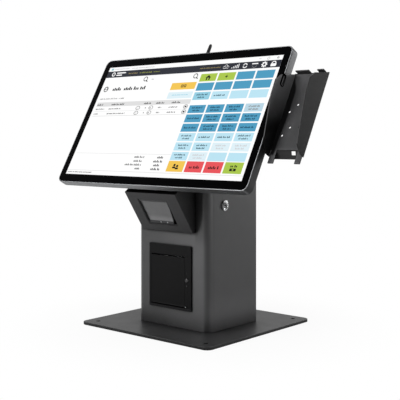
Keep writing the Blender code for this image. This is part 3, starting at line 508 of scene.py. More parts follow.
def sharp_by_angle():
    """Geometry nodes that mark edges sharper than SHARP_ANGLE as sharp, on a smooth mesh."""
    group = bpy.data.node_groups.new("sharp_by_angle", "GeometryNodeTree")
    group.interface.new_socket("Geometry", in_out="INPUT", socket_type="NodeSocketGeometry")
    group.interface.new_socket("Geometry", in_out="OUTPUT", socket_type="NodeSocketGeometry")
    start = group.nodes.new("NodeGroupInput")
    end = group.nodes.new("NodeGroupOutput")
    angle = group.nodes.new("GeometryNodeInputMeshEdgeAngle")
    compare = group.nodes.new("FunctionNodeCompare")
    compare.operation = "GREATER_THAN"
    compare.inputs["B"].default_value = SHARP_ANGLE
    shade = group.nodes.new("GeometryNodeSetShadeSmooth")
    shade.domain = "EDGE"
    shade.inputs["Shade Smooth"].default_value = False
    group.links.new(start.outputs["Geometry"], shade.inputs["Geometry"])
    group.links.new(angle.outputs["Unsigned Angle"], compare.inputs["A"])
    group.links.new(compare.outputs["Result"], shade.inputs["Selection"])
    group.links.new(shade.outputs["Geometry"], end.inputs["Geometry"])
    return group


SHARPEN = sharp_by_angle()


def add_bevel(item, width, segments):
    """Rounds an object's sharp edges."""
    bevel = item.modifiers.new("bevel", "BEVEL")
    bevel.width = width
    bevel.segments = segments
    bevel.limit_method = "ANGLE"
    bevel.angle_limit = SHARP_ANGLE
    return bevel


def soften(item, width):
    """Welds a CAD mesh, rounds its sharp edges and shades it smooth between them."""
    mesh = item.data
    for name in ("custom_normal", "sharp_edge", "sharp_face"):
        found = mesh.attributes.get(name)
        if found:
            mesh.attributes.remove(found)
    mesh.shade_smooth()
    weld = item.modifiers.new("weld", "WELD")
    weld.merge_threshold = WELD
    if width:
        add_bevel(item, width, 2)
    nodes = item.modifiers.new("sharpen", "NODES")
    nodes.node_group = SHARPEN
    normals = item.modifiers.new("normals", "WEIGHTED_NORMAL")
    normals.keep_sharp = True


# Bevels on the nodes that have one, and the looks that differ from a node's material slot
EDGE_WIDTH = {
    "cradle": 0.0005, "cradle_arm": 0.0005, "column_shell": 0.0004, "rear_panel": 0.0004,
    "window_frame": 0.0003, "printer_case": 0.0004, "printer_door": 0.0004, "tilt_bracket": 0.0005,
    "vesa_plate": 0.0005, "rear_cover": 0.0004, "touch_glass": 0.0003, "scanner_window": 0.0002,
    "scanner_bracket": 0.0003, "mast": 0.0004, "lock_cam": 0.0003, "paper_roll": 0.0004,
    "platen_roller": 0.0003, "io_panel": 0.0002, "lcd_panel": 0.0006, "heat_sink": 0.0002,
    "main_board": 0.0002,
}
OWN_LOOK = {"cradle": "cradle_coat", "scanner_hood": "hood_coat", "base_plate": "base_coat",
            "power_button": "satin_rim", "column_shell": "column_coat", "printer_door": "door_plastic",
            "printer_bezel": "bezel_plastic", "window_frame": "frame_plastic"}


def dress_cad_nodes():
    """Gives each CAD node its look and its softened edges."""
    slots = {item["node"]: item["material_slot"] for item in frame["record"]["subparts"]}
    for name, item in frame["nodes"].items():
        item.data.materials.clear()
        item.data.materials.append(LOOKS[OWN_LOOK.get(name, slots[name])])
        soften(item, EDGE_WIDTH.get(name, 0.0))


# ---------------- mesh tools

def piece(name, vertices, faces, look, body, place=WORLD, replaces=(), smooth=True, bevel=0.0):
    """A new visual piece: its mesh in a placed frame, riding on a CAD body."""
    mesh = bpy.data.meshes.new(name)
    mesh.from_pydata([tuple(v) for v in vertices], [], faces)
    mesh.validate()
    item = bpy.data.objects.new(name, mesh)
    bpy.context.scene.collection.objects.link(item)
    item.matrix_world = place
    looks = look if isinstance(look, (list, tuple)) else [look]
    for one in looks:
        mesh.materials.append(LOOKS[one] if isinstance(one, str) else one)
    if smooth:
        mesh.shade_smooth()
        mesh.set_sharp_from_angle(angle=SHARP_ANGLE)
    if bevel:
        add_bevel(item, bevel, 3).harden_normals = True
    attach(item, body)
    if replaces:
        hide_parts(*replaces)
    return item


def arc(cx, cy, radius, start, end, steps):
    """Points of an arc between two angles in degrees."""
    angles = [math.radians(start + (end - start) * i / steps) for i in range(steps + 1)]
    return [(cx + radius * math.cos(a), cy + radius * math.sin(a)) for a in angles]


def rounded(x0, y0, x1, y1, r, steps=5):
    """Outline of a rectangle with corners of radius r."""
    return (arc(x1 - r, y0 + r, r, -90, 0, steps) + arc(x1 - r, y1 - r, r, 0, 90, steps)
            + arc(x0 + r, y1 - r, r, 90, 180, steps) + arc(x0 + r, y0 + r, r, 180, 270, steps))


def loft(rings, closed=False, first=0):
    """Vertices and faces of a skin over rings of equal count, with end caps unless closed."""
    vertices = [point for ring in rings for point in ring]
    count = len(rings[0])
    pairs = [(i, i + 1) for i in range(len(rings) - 1)]
    if closed:
        pairs.append((len(rings) - 1, 0))
    faces = []
    for a, b in pairs:
        for i in range(count):
            j = (i + 1) % count
            faces.append((first + a * count + i, first + a * count + j,
                          first + b * count + j, first + b * count + i))
    if not closed:
        faces.append(tuple(first + i for i in reversed(range(count))))
        last = (len(rings) - 1) * count
        faces.append(tuple(first + last + i for i in range(count)))
    return vertices, faces


def lofted(name, skins, look, body, place=WORLD, replaces=(), closed=False, **options):
    """A visual piece made of one loft for each list of rings in skins."""
    vertices, faces = [], []
    for rings in skins:
        more_vertices, more_faces = loft(rings, closed, len(vertices))
        vertices += more_vertices
        faces += more_faces
    return piece(name, vertices, faces, look, body, place, replaces, **options)


def ring(along, radius, sides, shape=None):
    """A ring round +Z. shape(angle) gives its outline as a share of radius."""
    points = []
    for i in range(sides):
        angle = 2 * math.pi * i / sides
        reach = radius * (shape(angle) if shape else 1.0)
        points.append((reach * math.cos(angle), reach * math.sin(angle), along))
    return points


def turned(profile, sides):
    """Rings round +Z from a profile of heights and radii."""
    return [ring(height, radius, sides) for height, radius in profile]


def caps(places, profile, sides):
    """A small turned cap at each place, facing the user."""
    turns = [facing(place, (0, -1, 0)) for place in places]
    return [[[turn @ Vector(p) for p in one] for one in turned(profile, sides)] for turn in turns]


def lifted(outlines):
    """Rings from pairs of a flat outline across Y and the depth it lies at."""
    return [[(x, depth, z) for x, z in outline] for outline, depth in outlines]


def hexagon(angle):
    """A hexagon's reach as a share of its corners'."""
    return math.cos(math.pi / 6) / math.cos((angle % (math.pi / 3)) - math.pi / 6)


def cross(angle):
    """A cross recess, with arms twice half of its reach wide."""
    half = 0.17
    off = abs(((angle + math.pi / 4) % (math.pi / 2)) - math.pi / 4)
    return min(1.0, half / max(math.sin(off), 1e-6)) if off > half else 1.0


def keyway(angle):
    """A slot 0.2 of its length wide, along the angle of pi / 2."""
    return min(1.0 / max(abs(math.sin(angle)), 1e-6), 0.2 / max(abs(math.cos(angle)), 1e-6))


def slab(outline, low, high, turn="Z"):
    """Two rings of a flat outline: across Z, or with turn X or Y across that axis."""
    lift = {"X": lambda a, b, h: (h, a, b), "Y": lambda a, b, h: (a, h, b),
            "Z": lambda a, b, h: (a, b, h)}
    return [[lift[turn](a, b, height) for a, b in outline] for height in (low, high)]


# ---------------- screws

def along_axis(node, direction):
    """Top point, length and widest radius of a turned CAD node whose head faces direction."""
    low, high = local_box(node, facing((0, 0, 0), direction))
    middle = (low + high) / 2
    top = facing((0, 0, 0), direction) @ Vector((middle.x, middle.y, high.z))
    return top, high.z - low.z, (high.x - low.x) / 2


def screw(name, node, body, direction, head, shank, recess):
    """A pan-head screw in place of a CAD screw: its head's height and its shank's radius are given."""
    top, length, radius = along_axis(node, direction)
    sides = 48
    shape = {"hex": hexagon, "cross": cross}[recess]
    reach = radius * (0.42 if recess == "hex" else 0.52)
    profile = ((-length, shank * 0.75), (-length + 0.0006, shank), (-head, shank), (-head, radius * 0.97),
               (-head * 0.85, radius), (-head * 0.45, radius * 0.97), (-head * 0.18, radius * 0.86),
               (-head * 0.02, radius * 0.66), (0, reach * 1.10))
    rings = turned(profile, sides)
    rings += [ring(-0.0001, reach, sides, shape), ring(-head * 0.55, reach * 0.86, sides, shape)]
    lofted(name, [rings], "zinc", body, facing(top, direction), (node,))


def screws():
    """Each row: what is fixed, the CAD node's second word, body, head's side, head, shank, recess."""
    back = SCREEN.to_3x3() @ Vector((0, 1, 0))
    fours = (("vesa", "screw", "screen", back, 0.0024, 0.0020, "cross"),
             ("bracket", "bolt", "pedestal", (0, 0, 1), 0.0030, 0.0030, "hex"),
             ("mast", "bolt", "pedestal", (0, 0, -1), 0.0025, 0.0030, "hex"))
    pairs = (("arm", "screw", "screen", back, 0.0020, 0.0015, "cross"),
             ("panel", "screw", "pedestal", (0, 1, 0), 0.0018, 0.0015, "cross"))
    for count, rows in ((4, fours), (2, pairs)):
        for number in range(1, count + 1):
            for what, kind, *rest in rows:
                screw(f"{what}_fixing_{number}", f"{what}_{kind}_{number}", *rest)


# ---------------- lock

def lock():
    """The cam lock's chrome collar and the turning core with its keyway."""
    sides = 96
    low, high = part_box("lock_barrel")
    centre = (low + high) / 2
    face = Vector((high.x, centre.y, centre.z))
    outer, depth = (high.z - low.z) / 2, high.x - low.x
    body_radius, bore, lip, edge = 0.0095, 0.0058, 0.0026, 0.0013
    profile = [(-depth, body_radius - 0.0004), (-depth + 0.0006, body_radius), (-lip, body_radius),
               (-lip, outer - 0.0002), (-lip + 0.0003, outer), (-edge, outer)]
    profile += [(-edge + edge * math.sin(a), outer - edge + edge * math.cos(a))
                for a in [math.radians(15 * i) for i in range(1, 7)]]
    profile += [(0, bore + 0.0012), (-0.0003, bore + 0.0005), (-0.0009, bore), (-depth, bore)]
    lofted("lock_collar", [turned(profile, sides)], "lock_chrome", "pedestal", facing(face, (1, 0, 0)),
           ("lock_barrel",), closed=True)
    top, length, radius = along_axis("lock_plug", (1, 0, 0))
    slot, slot_depth = 0.0034, 0.0085
    rings = turned(((-length, 0.0028), (-length + 0.0002, 0.0030), (-length + 0.005, 0.0030),
                    (-length + 0.005, radius), (-0.0004, radius), (0, radius - 0.0005),
                    (-0.0001, slot + 0.0006)), sides)
    rings += [ring(-0.0003, slot, sides, keyway), ring(-slot_depth, slot, sides, keyway)]
    core = lofted("lock_core_face", [rings], ["lock_core", "dark_recess"], "lock_core",
                  facing(top, (1, 0, 0)), ("lock_plug",))
    # The keyway's walls take the near-black painted shade
    for face in core.data.polygons:
        corners = [core.data.vertices[i].co for i in face.vertices]
        if all(-slot_depth - 0.0005 < c.z < -0.0002 and c.xy.length < slot + 0.0001 for c in corners):
            face.material_index = 1


# ---------------- scanner window

def hood_frame():
    """The sloping face of the scanner hood: x across, z up the slope, y into the hood."""
    corner = min((v.co for v in frame["nodes"]["scanner_hood"].data.vertices), key=lambda p: p.y)
    return Matrix.Translation((0, corner.y, corner.z)) @ Matrix.Rotation(HOOD_LEAN, 4, "X")


def scanner_window():
    """The scanner's own front before the pane, its lamps, its lens, and a near-black slab that paints the
    shade in the gap beside it.
    """
    place = hood_frame()
    low, high = local_box("scanner_window", place)
    play, glass = 0.0002, low.y
    left, right, foot, top = low.x + play, high.x - play, low.z + play, high.z - play
    outer = [(left, foot), (right - 0.0105, foot), (right - 0.0062, foot + 0.0110),
             (right - 0.0024, top - 0.020), (right - 0.0018, top), (left, top)]
    inner = [(left + 0.0004, foot + 0.0042), (right - 0.0108, foot + 0.0042),
             (right - 0.0072, foot + 0.0140), (right - 0.0030, top - 0.020),
             (right - 0.0024, top - 0.0048), (left + 0.0004, top - 0.0048)]
    near, far = glass - 0.0022, glass - play
    rings = lifted(((outer, far), (outer, near), (inner, near), (inner, far)))
    lofted("scanner_front", [rings], "scanner_grey", "pedestal", place, closed=True, bevel=0.0003)
    # A near-black slab that paints the shade in the gap beside the scanner's front
    gap = [(right - 0.0107, foot), (right, foot), (right, top), (right - 0.0016, top),
           (right - 0.0022, top - 0.020), (right - 0.0060, foot + 0.0110)]
    lofted("scanner_gap", [slab(gap, glass - 0.0008, far, "Y")], "dark_recess", "pedestal", place,
           smooth=False)
    dome = ((0, 0.0013), (0.0004, 0.0012), (0.0007, 0.0008), (0.0009, 0.0003))
    lamps = caps([(x, near, foot + 0.0036) for x in (-0.0114, 0.0065)], dome, 24)
    lofted("window_lamps", lamps, "clear_lens", "pedestal", place)
    engine_front = local_box("scanner_engine", place)[0].y
    lens_at = facing((-0.006, engine_front + 0.0045, -0.046), (0, -1, 0))
    profile = [(0, 0.0062), (0.0010, 0.0062), (0.0014, 0.0058), (0.0012, 0.0050), (0.0016, 0.0044),
               (0.0023, 0.0030), (0.0027, 0.0012)]
    lofted("engine_lens", [turned(profile, 40)], "smoked_lens", "pedestal", place @ lens_at)


# ---------------- printer

def printer_details():
    """The feed button's dished cap, the two lamps beside it, and the tear bar."""
    low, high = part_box("feed_button")
    radius, depth = (high.x - low.x) / 2, high.y - low.y
    centre = ((low.x + high.x) / 2, low.y, (low.z + high.z) / 2)
    rise, curve = 0.0012, 0.0014
    profile = [(-depth, radius - 0.0003), (-depth + 0.0003, radius), (-rise, radius)]
    profile += [(-rise + rise * math.sin(a), radius - curve + curve * math.cos(a))
                for a in [math.radians(18 * i) for i in range(1, 6)]]
    profile += [(-0.0001, radius * 0.45), (-0.0004, radius * 0.2)]
    lofted("feed_cap", [turned(profile, 48)], "glossy_button", "feed_button", facing(centre, (0, -1, 0)),
           ("feed_button",))
    bezel_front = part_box("printer_bezel")[0].y
    dome = ((-0.0002, 0.0010), (0.0001, 0.00095), (0.0003, 0.0006))
    lamps = caps([(0.0432, bezel_front, z) for z in (0.1193, 0.0931)], dome, 20)
    lofted("printer_lamps", lamps, "smoked_lens", "pedestal")
    tear_bar(bezel_front + 0.0012)


def tear_bar(y):
    """A serrated strip along the top of the paper slot, with its front at y; its near-black look paints the
    slot's shade.
    """
    door_low, door_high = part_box("printer_door")
    left, right = door_low.x + 0.003, door_high.x - 0.003
    count = 40
    pitch = (right - left) / count
    root, tip, top = door_high.z + 0.0016, door_high.z + 0.0006, door_high.z + 0.0024
    outline = [(right, top), (left, top)]
    for i in range(count):
        outline += [(left + pitch * i, root), (left + pitch * (i + 0.5), tip)]
    outline.append((right, root))
    lofted("tear_bar", [slab(outline, y, y + 0.0005, "Y")], "dark_recess", "pedestal", smooth=False)


# ---------------- sockets

def port_sockets():
    """A metal shell and a tongue in each of the six data ports."""
    low, _ = local_box("io_panel", SCREEN)
    first, pitch, width = low.x + 0.006, 0.022, 0.013
    near, far = low.y + 0.0025, low.y + 0.0095
    middle, mouth, root = (near + far) / 2, low.z - 0.0006, low.z + 0.0080
    wall, play = 0.0005, 0.0002
    shells, tongues = [], []
    for number in range(6):
        x0 = first + pitch * number
        x1 = x0 + width
        outer = rounded(x0 + play, near + play, x1 - play, far - play, 0.0008, 3)
        inner = rounded(x0 + play + wall, near + play + wall, x1 - play - wall, far - play - wall,
                        0.0005, 3)
        shells.append([[(x, y, h) for x, y in shape] for shape, h in
                       ((outer, root), (outer, mouth), (inner, mouth), (inner, root))])
        tongue = rounded(x0 + 0.0025, middle - 0.0008, x1 - 0.0025, middle + 0.0008, 0.0003, 2)
        tongues.append(slab(tongue, low.z + 0.0012, low.z + 0.0088))
    lofted("port_shells", shells, "chrome", "screen", SCREEN, closed=True)
    lofted("port_tongues", tongues, "black_plastic", "screen", SCREEN)


def inlet_pins():
    """The three flat pins inside the mains inlet."""
    low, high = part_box("power_inlet")
    x, z = (low.x + high.x) / 2, (low.z + high.z) / 2
    half_width, half_height, pins = 0.0010, 0.0021, []
    for dx, dz in ((-0.0065, -0.0015), (0.0, 0.0025), (0.0065, -0.0015)):
        outline = rounded(x + dx - half_width, z + dz - half_height, x + dx + half_width,
                          z + dz + half_height, 0.0006, 3)
        pins.append(slab(outline, high.y - 0.0105, high.y - 0.0030, "Y"))
    lofted("inlet_pins", pins, "zinc", "pedestal")


# ---------------- cradle

def slot_trim():
    """A near-black edge trim on the inner side of the strap slot in the cradle's left flange; it paints the
    shade in and around the slot.
    """
    front = local_box("screen_frame", SCREEN)[0].y
    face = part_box("cradle")[0].x + 0.0020
    near, far, foot, top = front - 0.0094, front - 0.0036, 0.0601, 0.0819
    inner = rounded(near, foot, far, top, 0.0027, 5)
    outer = rounded(near - 0.0042, foot - 0.0015, far + 0.0022, top + 0.0030, 0.0042, 5)
    crown = rounded(near - 0.0039, foot - 0.0012, far + 0.0019, top + 0.0027, 0.0039, 5)
    rings = [[(x, y, z) for y, z in outline] for outline, x in
             ((outer, face + 0.0001), (outer, face + 0.0003), (crown, face + 0.0005),
              (inner, face + 0.0005), (inner, face + 0.0001))]
    lofted("slot_trim", [rings], "dark_recess", "screen", SCREEN, closed=True)


# ---------------- antenna

def antenna():
    """Knurled socket, and the whip with grip rings and the two cheeks of its fold hinge."""
    low, high = local_box("antenna_socket", SCREEN)
    centre = (low + high) / 2
    radius = (high.x - low.x) / 2

    def knurl(angle):
        """Twenty-four shallow grooves."""
        return 1.0 - 0.035 * (0.5 + 0.5 * math.cos(24 * angle))

    sides, top = 144, high.z
    rings = turned(((low.z, radius * 0.6), (top - 0.0087, radius * 0.6), (top - 0.0087, radius * 0.95)),
                   sides)
    rings += [ring(top - 0.0080, radius, sides, knurl), ring(top - 0.0016, radius, sides, knurl)]
    rings += turned(((top - 0.0008, radius * 0.93), (top, radius * 0.84)), sides)
    place = SCREEN @ Matrix.Translation((centre.x, centre.y, 0))
    lofted("antenna_nut", [rings], "chrome", "screen", place, ("antenna_socket",))

    low, high = local_box("antenna_whip", SCREEN)
    fold = SCREEN.inverted() @ Vector(joint("antenna_fold")["pos_m"])
    start, tip, wide = fold.z + 0.0050, high.z, (high.x - low.x) / 2
    profile = [(start, wide)]
    for i in range(5):
        z = start + 0.0030 + 0.0026 * i
        profile += [(z, wide), (z + 0.0003, wide - 0.0005), (z + 0.0010, wide - 0.0005), (z + 0.0013, wide)]
    profile += [(start + 0.0175, wide * 0.97), (start + 0.030, wide * 0.86), (tip - 0.020, wide * 0.75),
                (tip - 0.006, wide * 0.70), (tip - 0.003, wide * 0.63), (tip - 0.0012, wide * 0.46),
                (tip - 0.0003, wide * 0.25), (tip, wide * 0.08)]
    x, y = fold.x, fold.y
    skins = [[[(x + a, y + b, z) for a, b, z in one] for one in turned(profile, 48)]]
    reach, cheek_top, cheek_width = 0.0046, 0.0049, 0.0026
    cheek = ([(y + reach, fold.z + cheek_top), (y - reach, fold.z + cheek_top)]
             + arc(y, fold.z, reach, 180, 360, 20))
    for side in (-0.0045, 0.0019):
        skins.append(slab(cheek, x + side, x + side + cheek_width, "X"))
    lofted("antenna_rod", skins, "rubber", "antenna_whip", SCREEN, ("antenna_whip",))


# ---------------- picture on the display

INK = {
    "white": (255, 255, 255), "paper_grey": (224, 224, 224), "rule": (212, 212, 212),
    "soft_text": (130, 130, 130), "text": (50, 50, 50), "dark_text": (22, 22, 22), "faint": (205, 205, 208),
    "bar": (44, 46, 55), "blue": (78, 156, 192), "deep_text": (12, 52, 76), "label": (30, 62, 78),
    "light_blue": (188, 228, 243), "pale": (222, 240, 247), "mid_blue": (148, 206, 226),
    "grey_blue": (186, 214, 228), "green": (171, 200, 76), "yellow": (244, 199, 84),
    "red": (233, 85, 90), "amber": (150, 135, 90), "olive": (140, 145, 70), "teal": (150, 200, 205),
}


class Picture:
    """Flat shapes in millimetres on the display: x across, z up, from the picture's middle."""

    def __init__(self):
        self.shapes = []

    def shape(self, points, ink, layer=1):
        """One flat outline in one colour; a higher layer lies in front."""
        self.shapes.append((points, ink, layer))

    def box(self, x0, z1, x1, z0, ink, layer=1, radius=0.0):
        """A rectangle from its left and top to its right and foot."""
        if radius:
            self.shape(rounded(x0, z0, x1, z1, radius, 4), ink, layer)
        else:
            self.shape([(x0, z0), (x1, z0), (x1, z1), (x0, z1)], ink, layer)

    def disc(self, x, z, radius, ink, layer=1):
        """A filled circle."""
        self.shape(arc(x, z, radius, 0, 360, CURVE_STEPS)[:-1], ink, layer)

    def hoop(self, x, z, radius, width, ink, layer=1, start=0, end=360, flat=1.0):
        """A ring, or part of one, as an open band that closes on itself. flat is its height share."""
        outer, inner = [[(x + a, z + b * flat) for a, b in arc(0, 0, r, start, end, CURVE_STEPS)]
                        for r in (radius, radius - width)]
        for i in range(CURVE_STEPS):
            self.shape([outer[i], outer[i + 1], inner[i + 1], inner[i]], ink, layer)

    def words(self, x0, x1, z, height, ink, layer=2, first=0, bold=0.44):
        """A line of made-up text: words of plain upright strokes, with no letters."""
        lengths, tall = (4, 2, 5, 3, 6), (1.0, 0.62, 0.62, 0.85, 0.62, 1.0, 0.62)
        x, word, stroke = x0, first, first
        low, last = z - height / 2, x1 - height * 0.3
        while x < last:
            for _ in range(lengths[word % len(lengths)]):
                if x > last:
                    break
                top = low + height * tall[stroke % len(tall)]
                self.box(x, top, x + height * bold, low, ink, layer)
                x += height * 0.62
                stroke += 1
            x += height * 0.42
            word += 1

    def centred(self, x, z, width, height, ink, layer=2, first=0):
        """A line of made-up text about a middle."""
        self.words(x - width / 2, x + width / 2, z, height, ink, layer, first)


def title_strip(p):
    """The narrow white strip at the top."""
    p.box(-231, 131.5, -223.5, 126, "teal", 2, 1.2)
    p.words(-220, -173, 129, 2.0, "soft_text")
    p.words(-165, -97, 128.5, 2.0, "soft_text", first=2)
    p.box(182, 129.2, 187.5, 128.2, "soft_text", 2)
    p.hoop(205, 128.7, 3.2, 0.8, "soft_text", 2)
    p.hoop(227.5, 128.7, 2.4, 1.4, "soft_text", 2)


def top_bar(p):
    """The dark bar with its row of plain icons."""
    p.box(-238.3, 123.5, 238.3, 106.8, "bar", 1)
    p.hoop(-217.5, 115.3, 5.4, 2.2, "white", 2)
    p.box(-208, 119.6, -180, 116.6, "white", 2, 1.4)
    p.box(-208, 113.9, -190, 110.9, "white", 2, 1.4)
    p.words(-170, -141, 115.5, 3.6, "amber")
    p.words(-136, -99, 115.5, 3.6, "olive", first=1)
    p.words(-94, -76, 115.5, 2.6, "olive", first=3)
    p.words(37, 91, 115.5, 2.8, "amber", first=2)
    cloud(p, 105, 115)
    for i in range(5):
        p.box(120 + 4.0 * i, 111 + 1.9 * (i + 1), 121.8 + 4.0 * i, 110.5, "white", 2)
    for start in (20, 200):
        p.hoop(153, 115, 5.6, 2.0, "white", 2, start, start + 150)
    p.box(169, 119.5, 184, 117, "white", 2, 0.6)
    p.hoop(176.5, 114, 5.2, 1.2, "soft_text", 2, 180, 360)
    gear(p, 199.5, 115, 7.0)
    p.box(215, 116, 228, 109.5, "white", 2, 1.4)
    p.hoop(221.5, 116, 5.6, 2.0, "white", 2, 0, 180)


def cloud(p, x, z):
    """Three arcs over a flat foot."""
    for dx, dz, r in ((-4.2, -0.6, 3.0), (0, 1.6, 4.0), (4.6, -0.4, 3.2)):
        p.hoop(x + dx, z + dz, r, 1.0, "paper_grey", 2, -20, 200)
    p.box(x - 6.5, z - 2.6, x + 7, z - 3.7, "paper_grey", 2)


def gear(p, x, z, radius):
    """A ring with eight teeth."""
    p.hoop(x, z, radius * 0.74, radius * 0.36, "white", 2)
    for i in range(8):
        a = math.pi / 4 * i
        along = Vector((math.cos(a), math.sin(a)))
        side = Vector((-along.y, along.x)) * radius * 0.16
        near, far = along * radius * 0.68, along * radius
        points = [near + side, near - side, far - side, far + side]
        p.shape([(x + q.x, z + q.y) for q in points], "white", 2)


def search(p, x, z, radius, ink):
    """A ring with a slanting handle."""
    p.hoop(x, z, radius, radius * 0.30, ink, 2)
    a = Vector((0.72, -0.70))
    side = Vector((0.70, 0.72)) * radius * 0.20
    near, far = a * radius, a * radius * 1.75
    p.shape([(x + q.x, z + q.y) for q in (near + side, near - side, far - side, far + side)], ink, 2)


def customer_panel(p):
    """The heading above the list, between two search icons."""
    search(p, -109.5, 98, 6.0, "dark_text")
    p.words(-91, -85, 96.5, 2.6, "soft_text")
    search(p, 32.5, 98, 6.0, "dark_text")
    p.disc(-222.3, 76.5, 7.2, "soft_text", 2)
    p.disc(-222.3, 78.3, 2.4, "white", 3)
    p.box(-225.9, 75.0, -218.7, 72.0, "white", 3, 1.4)
    for x0, x1 in ((-200, -172), (-165, -100)):
        p.words(x0, x1, 76, 8.6, "dark_text", first=2, bold=0.46)
    p.words(-229, -173, 51.5, 3.4, "soft_text", first=2)
    p.words(-169, -153, 51.5, 3.4, "soft_text", first=1)


def sales_table(p):
    """The list's header and its two rows."""
    p.box(-231, 42.5, 44.5, 31.5, "paper_grey", 1)
    for x0, x1 in ((-229, -212), (-184, -146), (-85, -65), (-50, -24), (-6, 20)):
        p.words(x0, x1, 36.5, 4.4, "text", first=2)
    for row, z in enumerate((25.5, 13.5)):
        p.words(-229, -201 - 14 * row, z, 3.2, "text", first=row)
        p.words(-188, -150 + 17 * row, z, 3.2, "text", first=row + 2)
        p.hoop(-98.5, z, 6.4, 1.6, "soft_text", 2, flat=0.74)
        p.words(-77.5, -73.5, z, 3.0, "text")
        p.hoop(-60.5, z, 6.4, 1.5, "soft_text", 2, flat=0.74)
        p.words(-64, -57.5, z, 3.6, "text", first=1)
        p.words(-101, -96.5, z, 1.8, "text", first=1)
        p.words(-40, -30, z, 3.4, "text", first=3)
        p.words(-10, 13, z, 3.4, "text", first=1 + row)
        p.hoop(36, z, 6.4, 1.5, "soft_text", 2, flat=0.78)
        p.box(33.4, z + 2.0, 38.6, z - 2.0, "text", 3, 0.8)
    p.box(-231, 19.8, 44.5, 19.2, "rule", 1)
    p.box(-231, 8.2, 44.5, 7.2, "rule", 1)


def totals(p):
    """Four labelled sums, and the status bar under them."""
    p.box(-231, -83.2, 44.5, -83.9, "rule", 1)
    for label, amount, z in ((-52, 12, -90), (-50, 5, -99), (-71, 9, -107.5), (-39, 5, -116)):
        p.words(label, -24.5, z, 4.4, "text", first=2)
        p.words(amount, 28.5, z, 5.2, "dark_text", first=2)
    p.box(-238.3, -123.6, 238.3, -124.4, "rule", 1)
    p.words(-235, -160, -128.6, 3.0, "text", first=1)


def wide_buttons(p):
    """The two wide buttons left of the tiles."""
    p.box(-25.5, 83.5, 42, 66.5, "yellow", 1, 0.8)
    for x in (2.4, 10.2):
        p.box(x, 78.4, x + 6.2, 71.8, "dark_text", 2, 0.8)
        p.box(x + 1.6, 76.6, x + 4.6, 73.6, "yellow", 3)
    p.box(-25.5, 61, 42, 45.5, "pale", 1, 0.8)
    p.words(-14, 30, 54, 2.6, "mid_blue", first=2)


TILE_LEFT, TILE_PITCH, TILE_WIDTH, TILE_HEIGHT = 46.8, 47.1, 43.0, 18.2
TILE_ROWS = (
    (101.6, ("green", "green", "blue", "blue"), (0, 0, 0, 0)),
    (80.0, ("blue",) * 4, (0, 0, 0, 0)),
    (58.4, ("mid_blue", "light_blue", "light_blue", "light_blue"), (2, 1, 0, 0)),
    (28.0, ("blue", "blue", "blue", "grey_blue"), (2, 2, 2, 3)),
    (6.9, ("blue",) * 4, (1, 2, 2, 2)),
    (-14.3, ("blue",) * 4, (1, 2, 2, 1)),
    (-35.3, ("light_blue",) * 4, (2, 1, 1, 2)),
    (-56.3, ("light_blue", "light_blue", "pale", "pale"), (2, 2, 3, 3)),
    (-77.3, ("light_blue", "pale", "light_blue", "light_blue"), (2, 3, 0, 0)),
)


def tile_grid(p):
    """The touch tiles: each row gives its top, its colours and how many lines of text each tile has.

    3 also stands for two lines, on the tiles whose text is faint.
    """
    inks = {"blue": "deep_text", "grey_blue": "soft_text", "pale": "faint"}
    for row, (top, colours, lines) in enumerate(TILE_ROWS):
        for column, (ink, count) in enumerate(zip(colours, lines)):
            left = TILE_LEFT + TILE_PITCH * column
            middle = left + TILE_WIDTH / 2
            p.box(left, top, left + TILE_WIDTH, top - TILE_HEIGHT, ink, 1)
            pen = inks.get(ink, "label")
            if count == 1:
                p.centred(middle, top - 9.0, 31, 4.0, pen, 2, column)
            if count >= 2:
                p.centred(middle, top - 5.9, 29 - 3 * (row % 2), 3.8, pen, 2, column + row)
                p.centred(middle, top - 12.2, 19 + 3 * (column % 2), 3.8, pen, 2, row)
    home(p, TILE_LEFT + TILE_WIDTH / 2, 92)
    plus_x = TILE_LEFT + TILE_PITCH + TILE_WIDTH / 2
    p.box(plus_x - 3.6, 93.2, plus_x + 3.6, 91.6, "dark_text", 2)
    p.box(plus_x - 0.8, 96.0, plus_x + 0.8, 88.8, "dark_text", 2)
    action_tiles(p)


def home(p, x, z):
    """A roof on two posts."""
    p.shape([(x - 7.2, z), (x, z + 6.2), (x + 7.2, z)], "dark_text", 2)
    p.box(x - 5.0, z, x - 1.6, z - 5.6, "dark_text", 2)
    p.box(x + 1.6, z, x + 5.0, z - 5.6, "dark_text", 2)


def action_tiles(p):
    """The four tall tiles along the foot."""
    top, foot = -97.0, -120.4
    middle = (top + foot) / 2
    for column, ink in enumerate(("yellow", "red", "red", "green")):
        left = TILE_LEFT + TILE_PITCH * column
        p.box(left, top, left + TILE_WIDTH, foot, ink, 1)
    x = TILE_LEFT + TILE_WIDTH / 2
    for dx, dz in ((-3.6, 0.0), (4.2, -2.0)):
        p.disc(x + dx, middle + dz + 2.6, 2.7, "dark_text", 2)
        p.box(x + dx - 4.2, middle + dz - 0.6, x + dx + 4.2, middle + dz - 4.4, "dark_text", 2, 1.8)
    for column in (1, 2):
        p.centred(x + TILE_PITCH * column, middle - 0.4, 24, 6.2, "dark_text", 2, column)
    x += TILE_PITCH * 3
    p.centred(x, middle + 4.2, 15, 5.6, "dark_text", 2, 1)
    p.box(x - 7.5, middle - 1.0, x + 7.5, middle - 6.4, "dark_text", 2, 1.2)
    p.disc(x, middle - 3.7, 1.7, "green", 3)


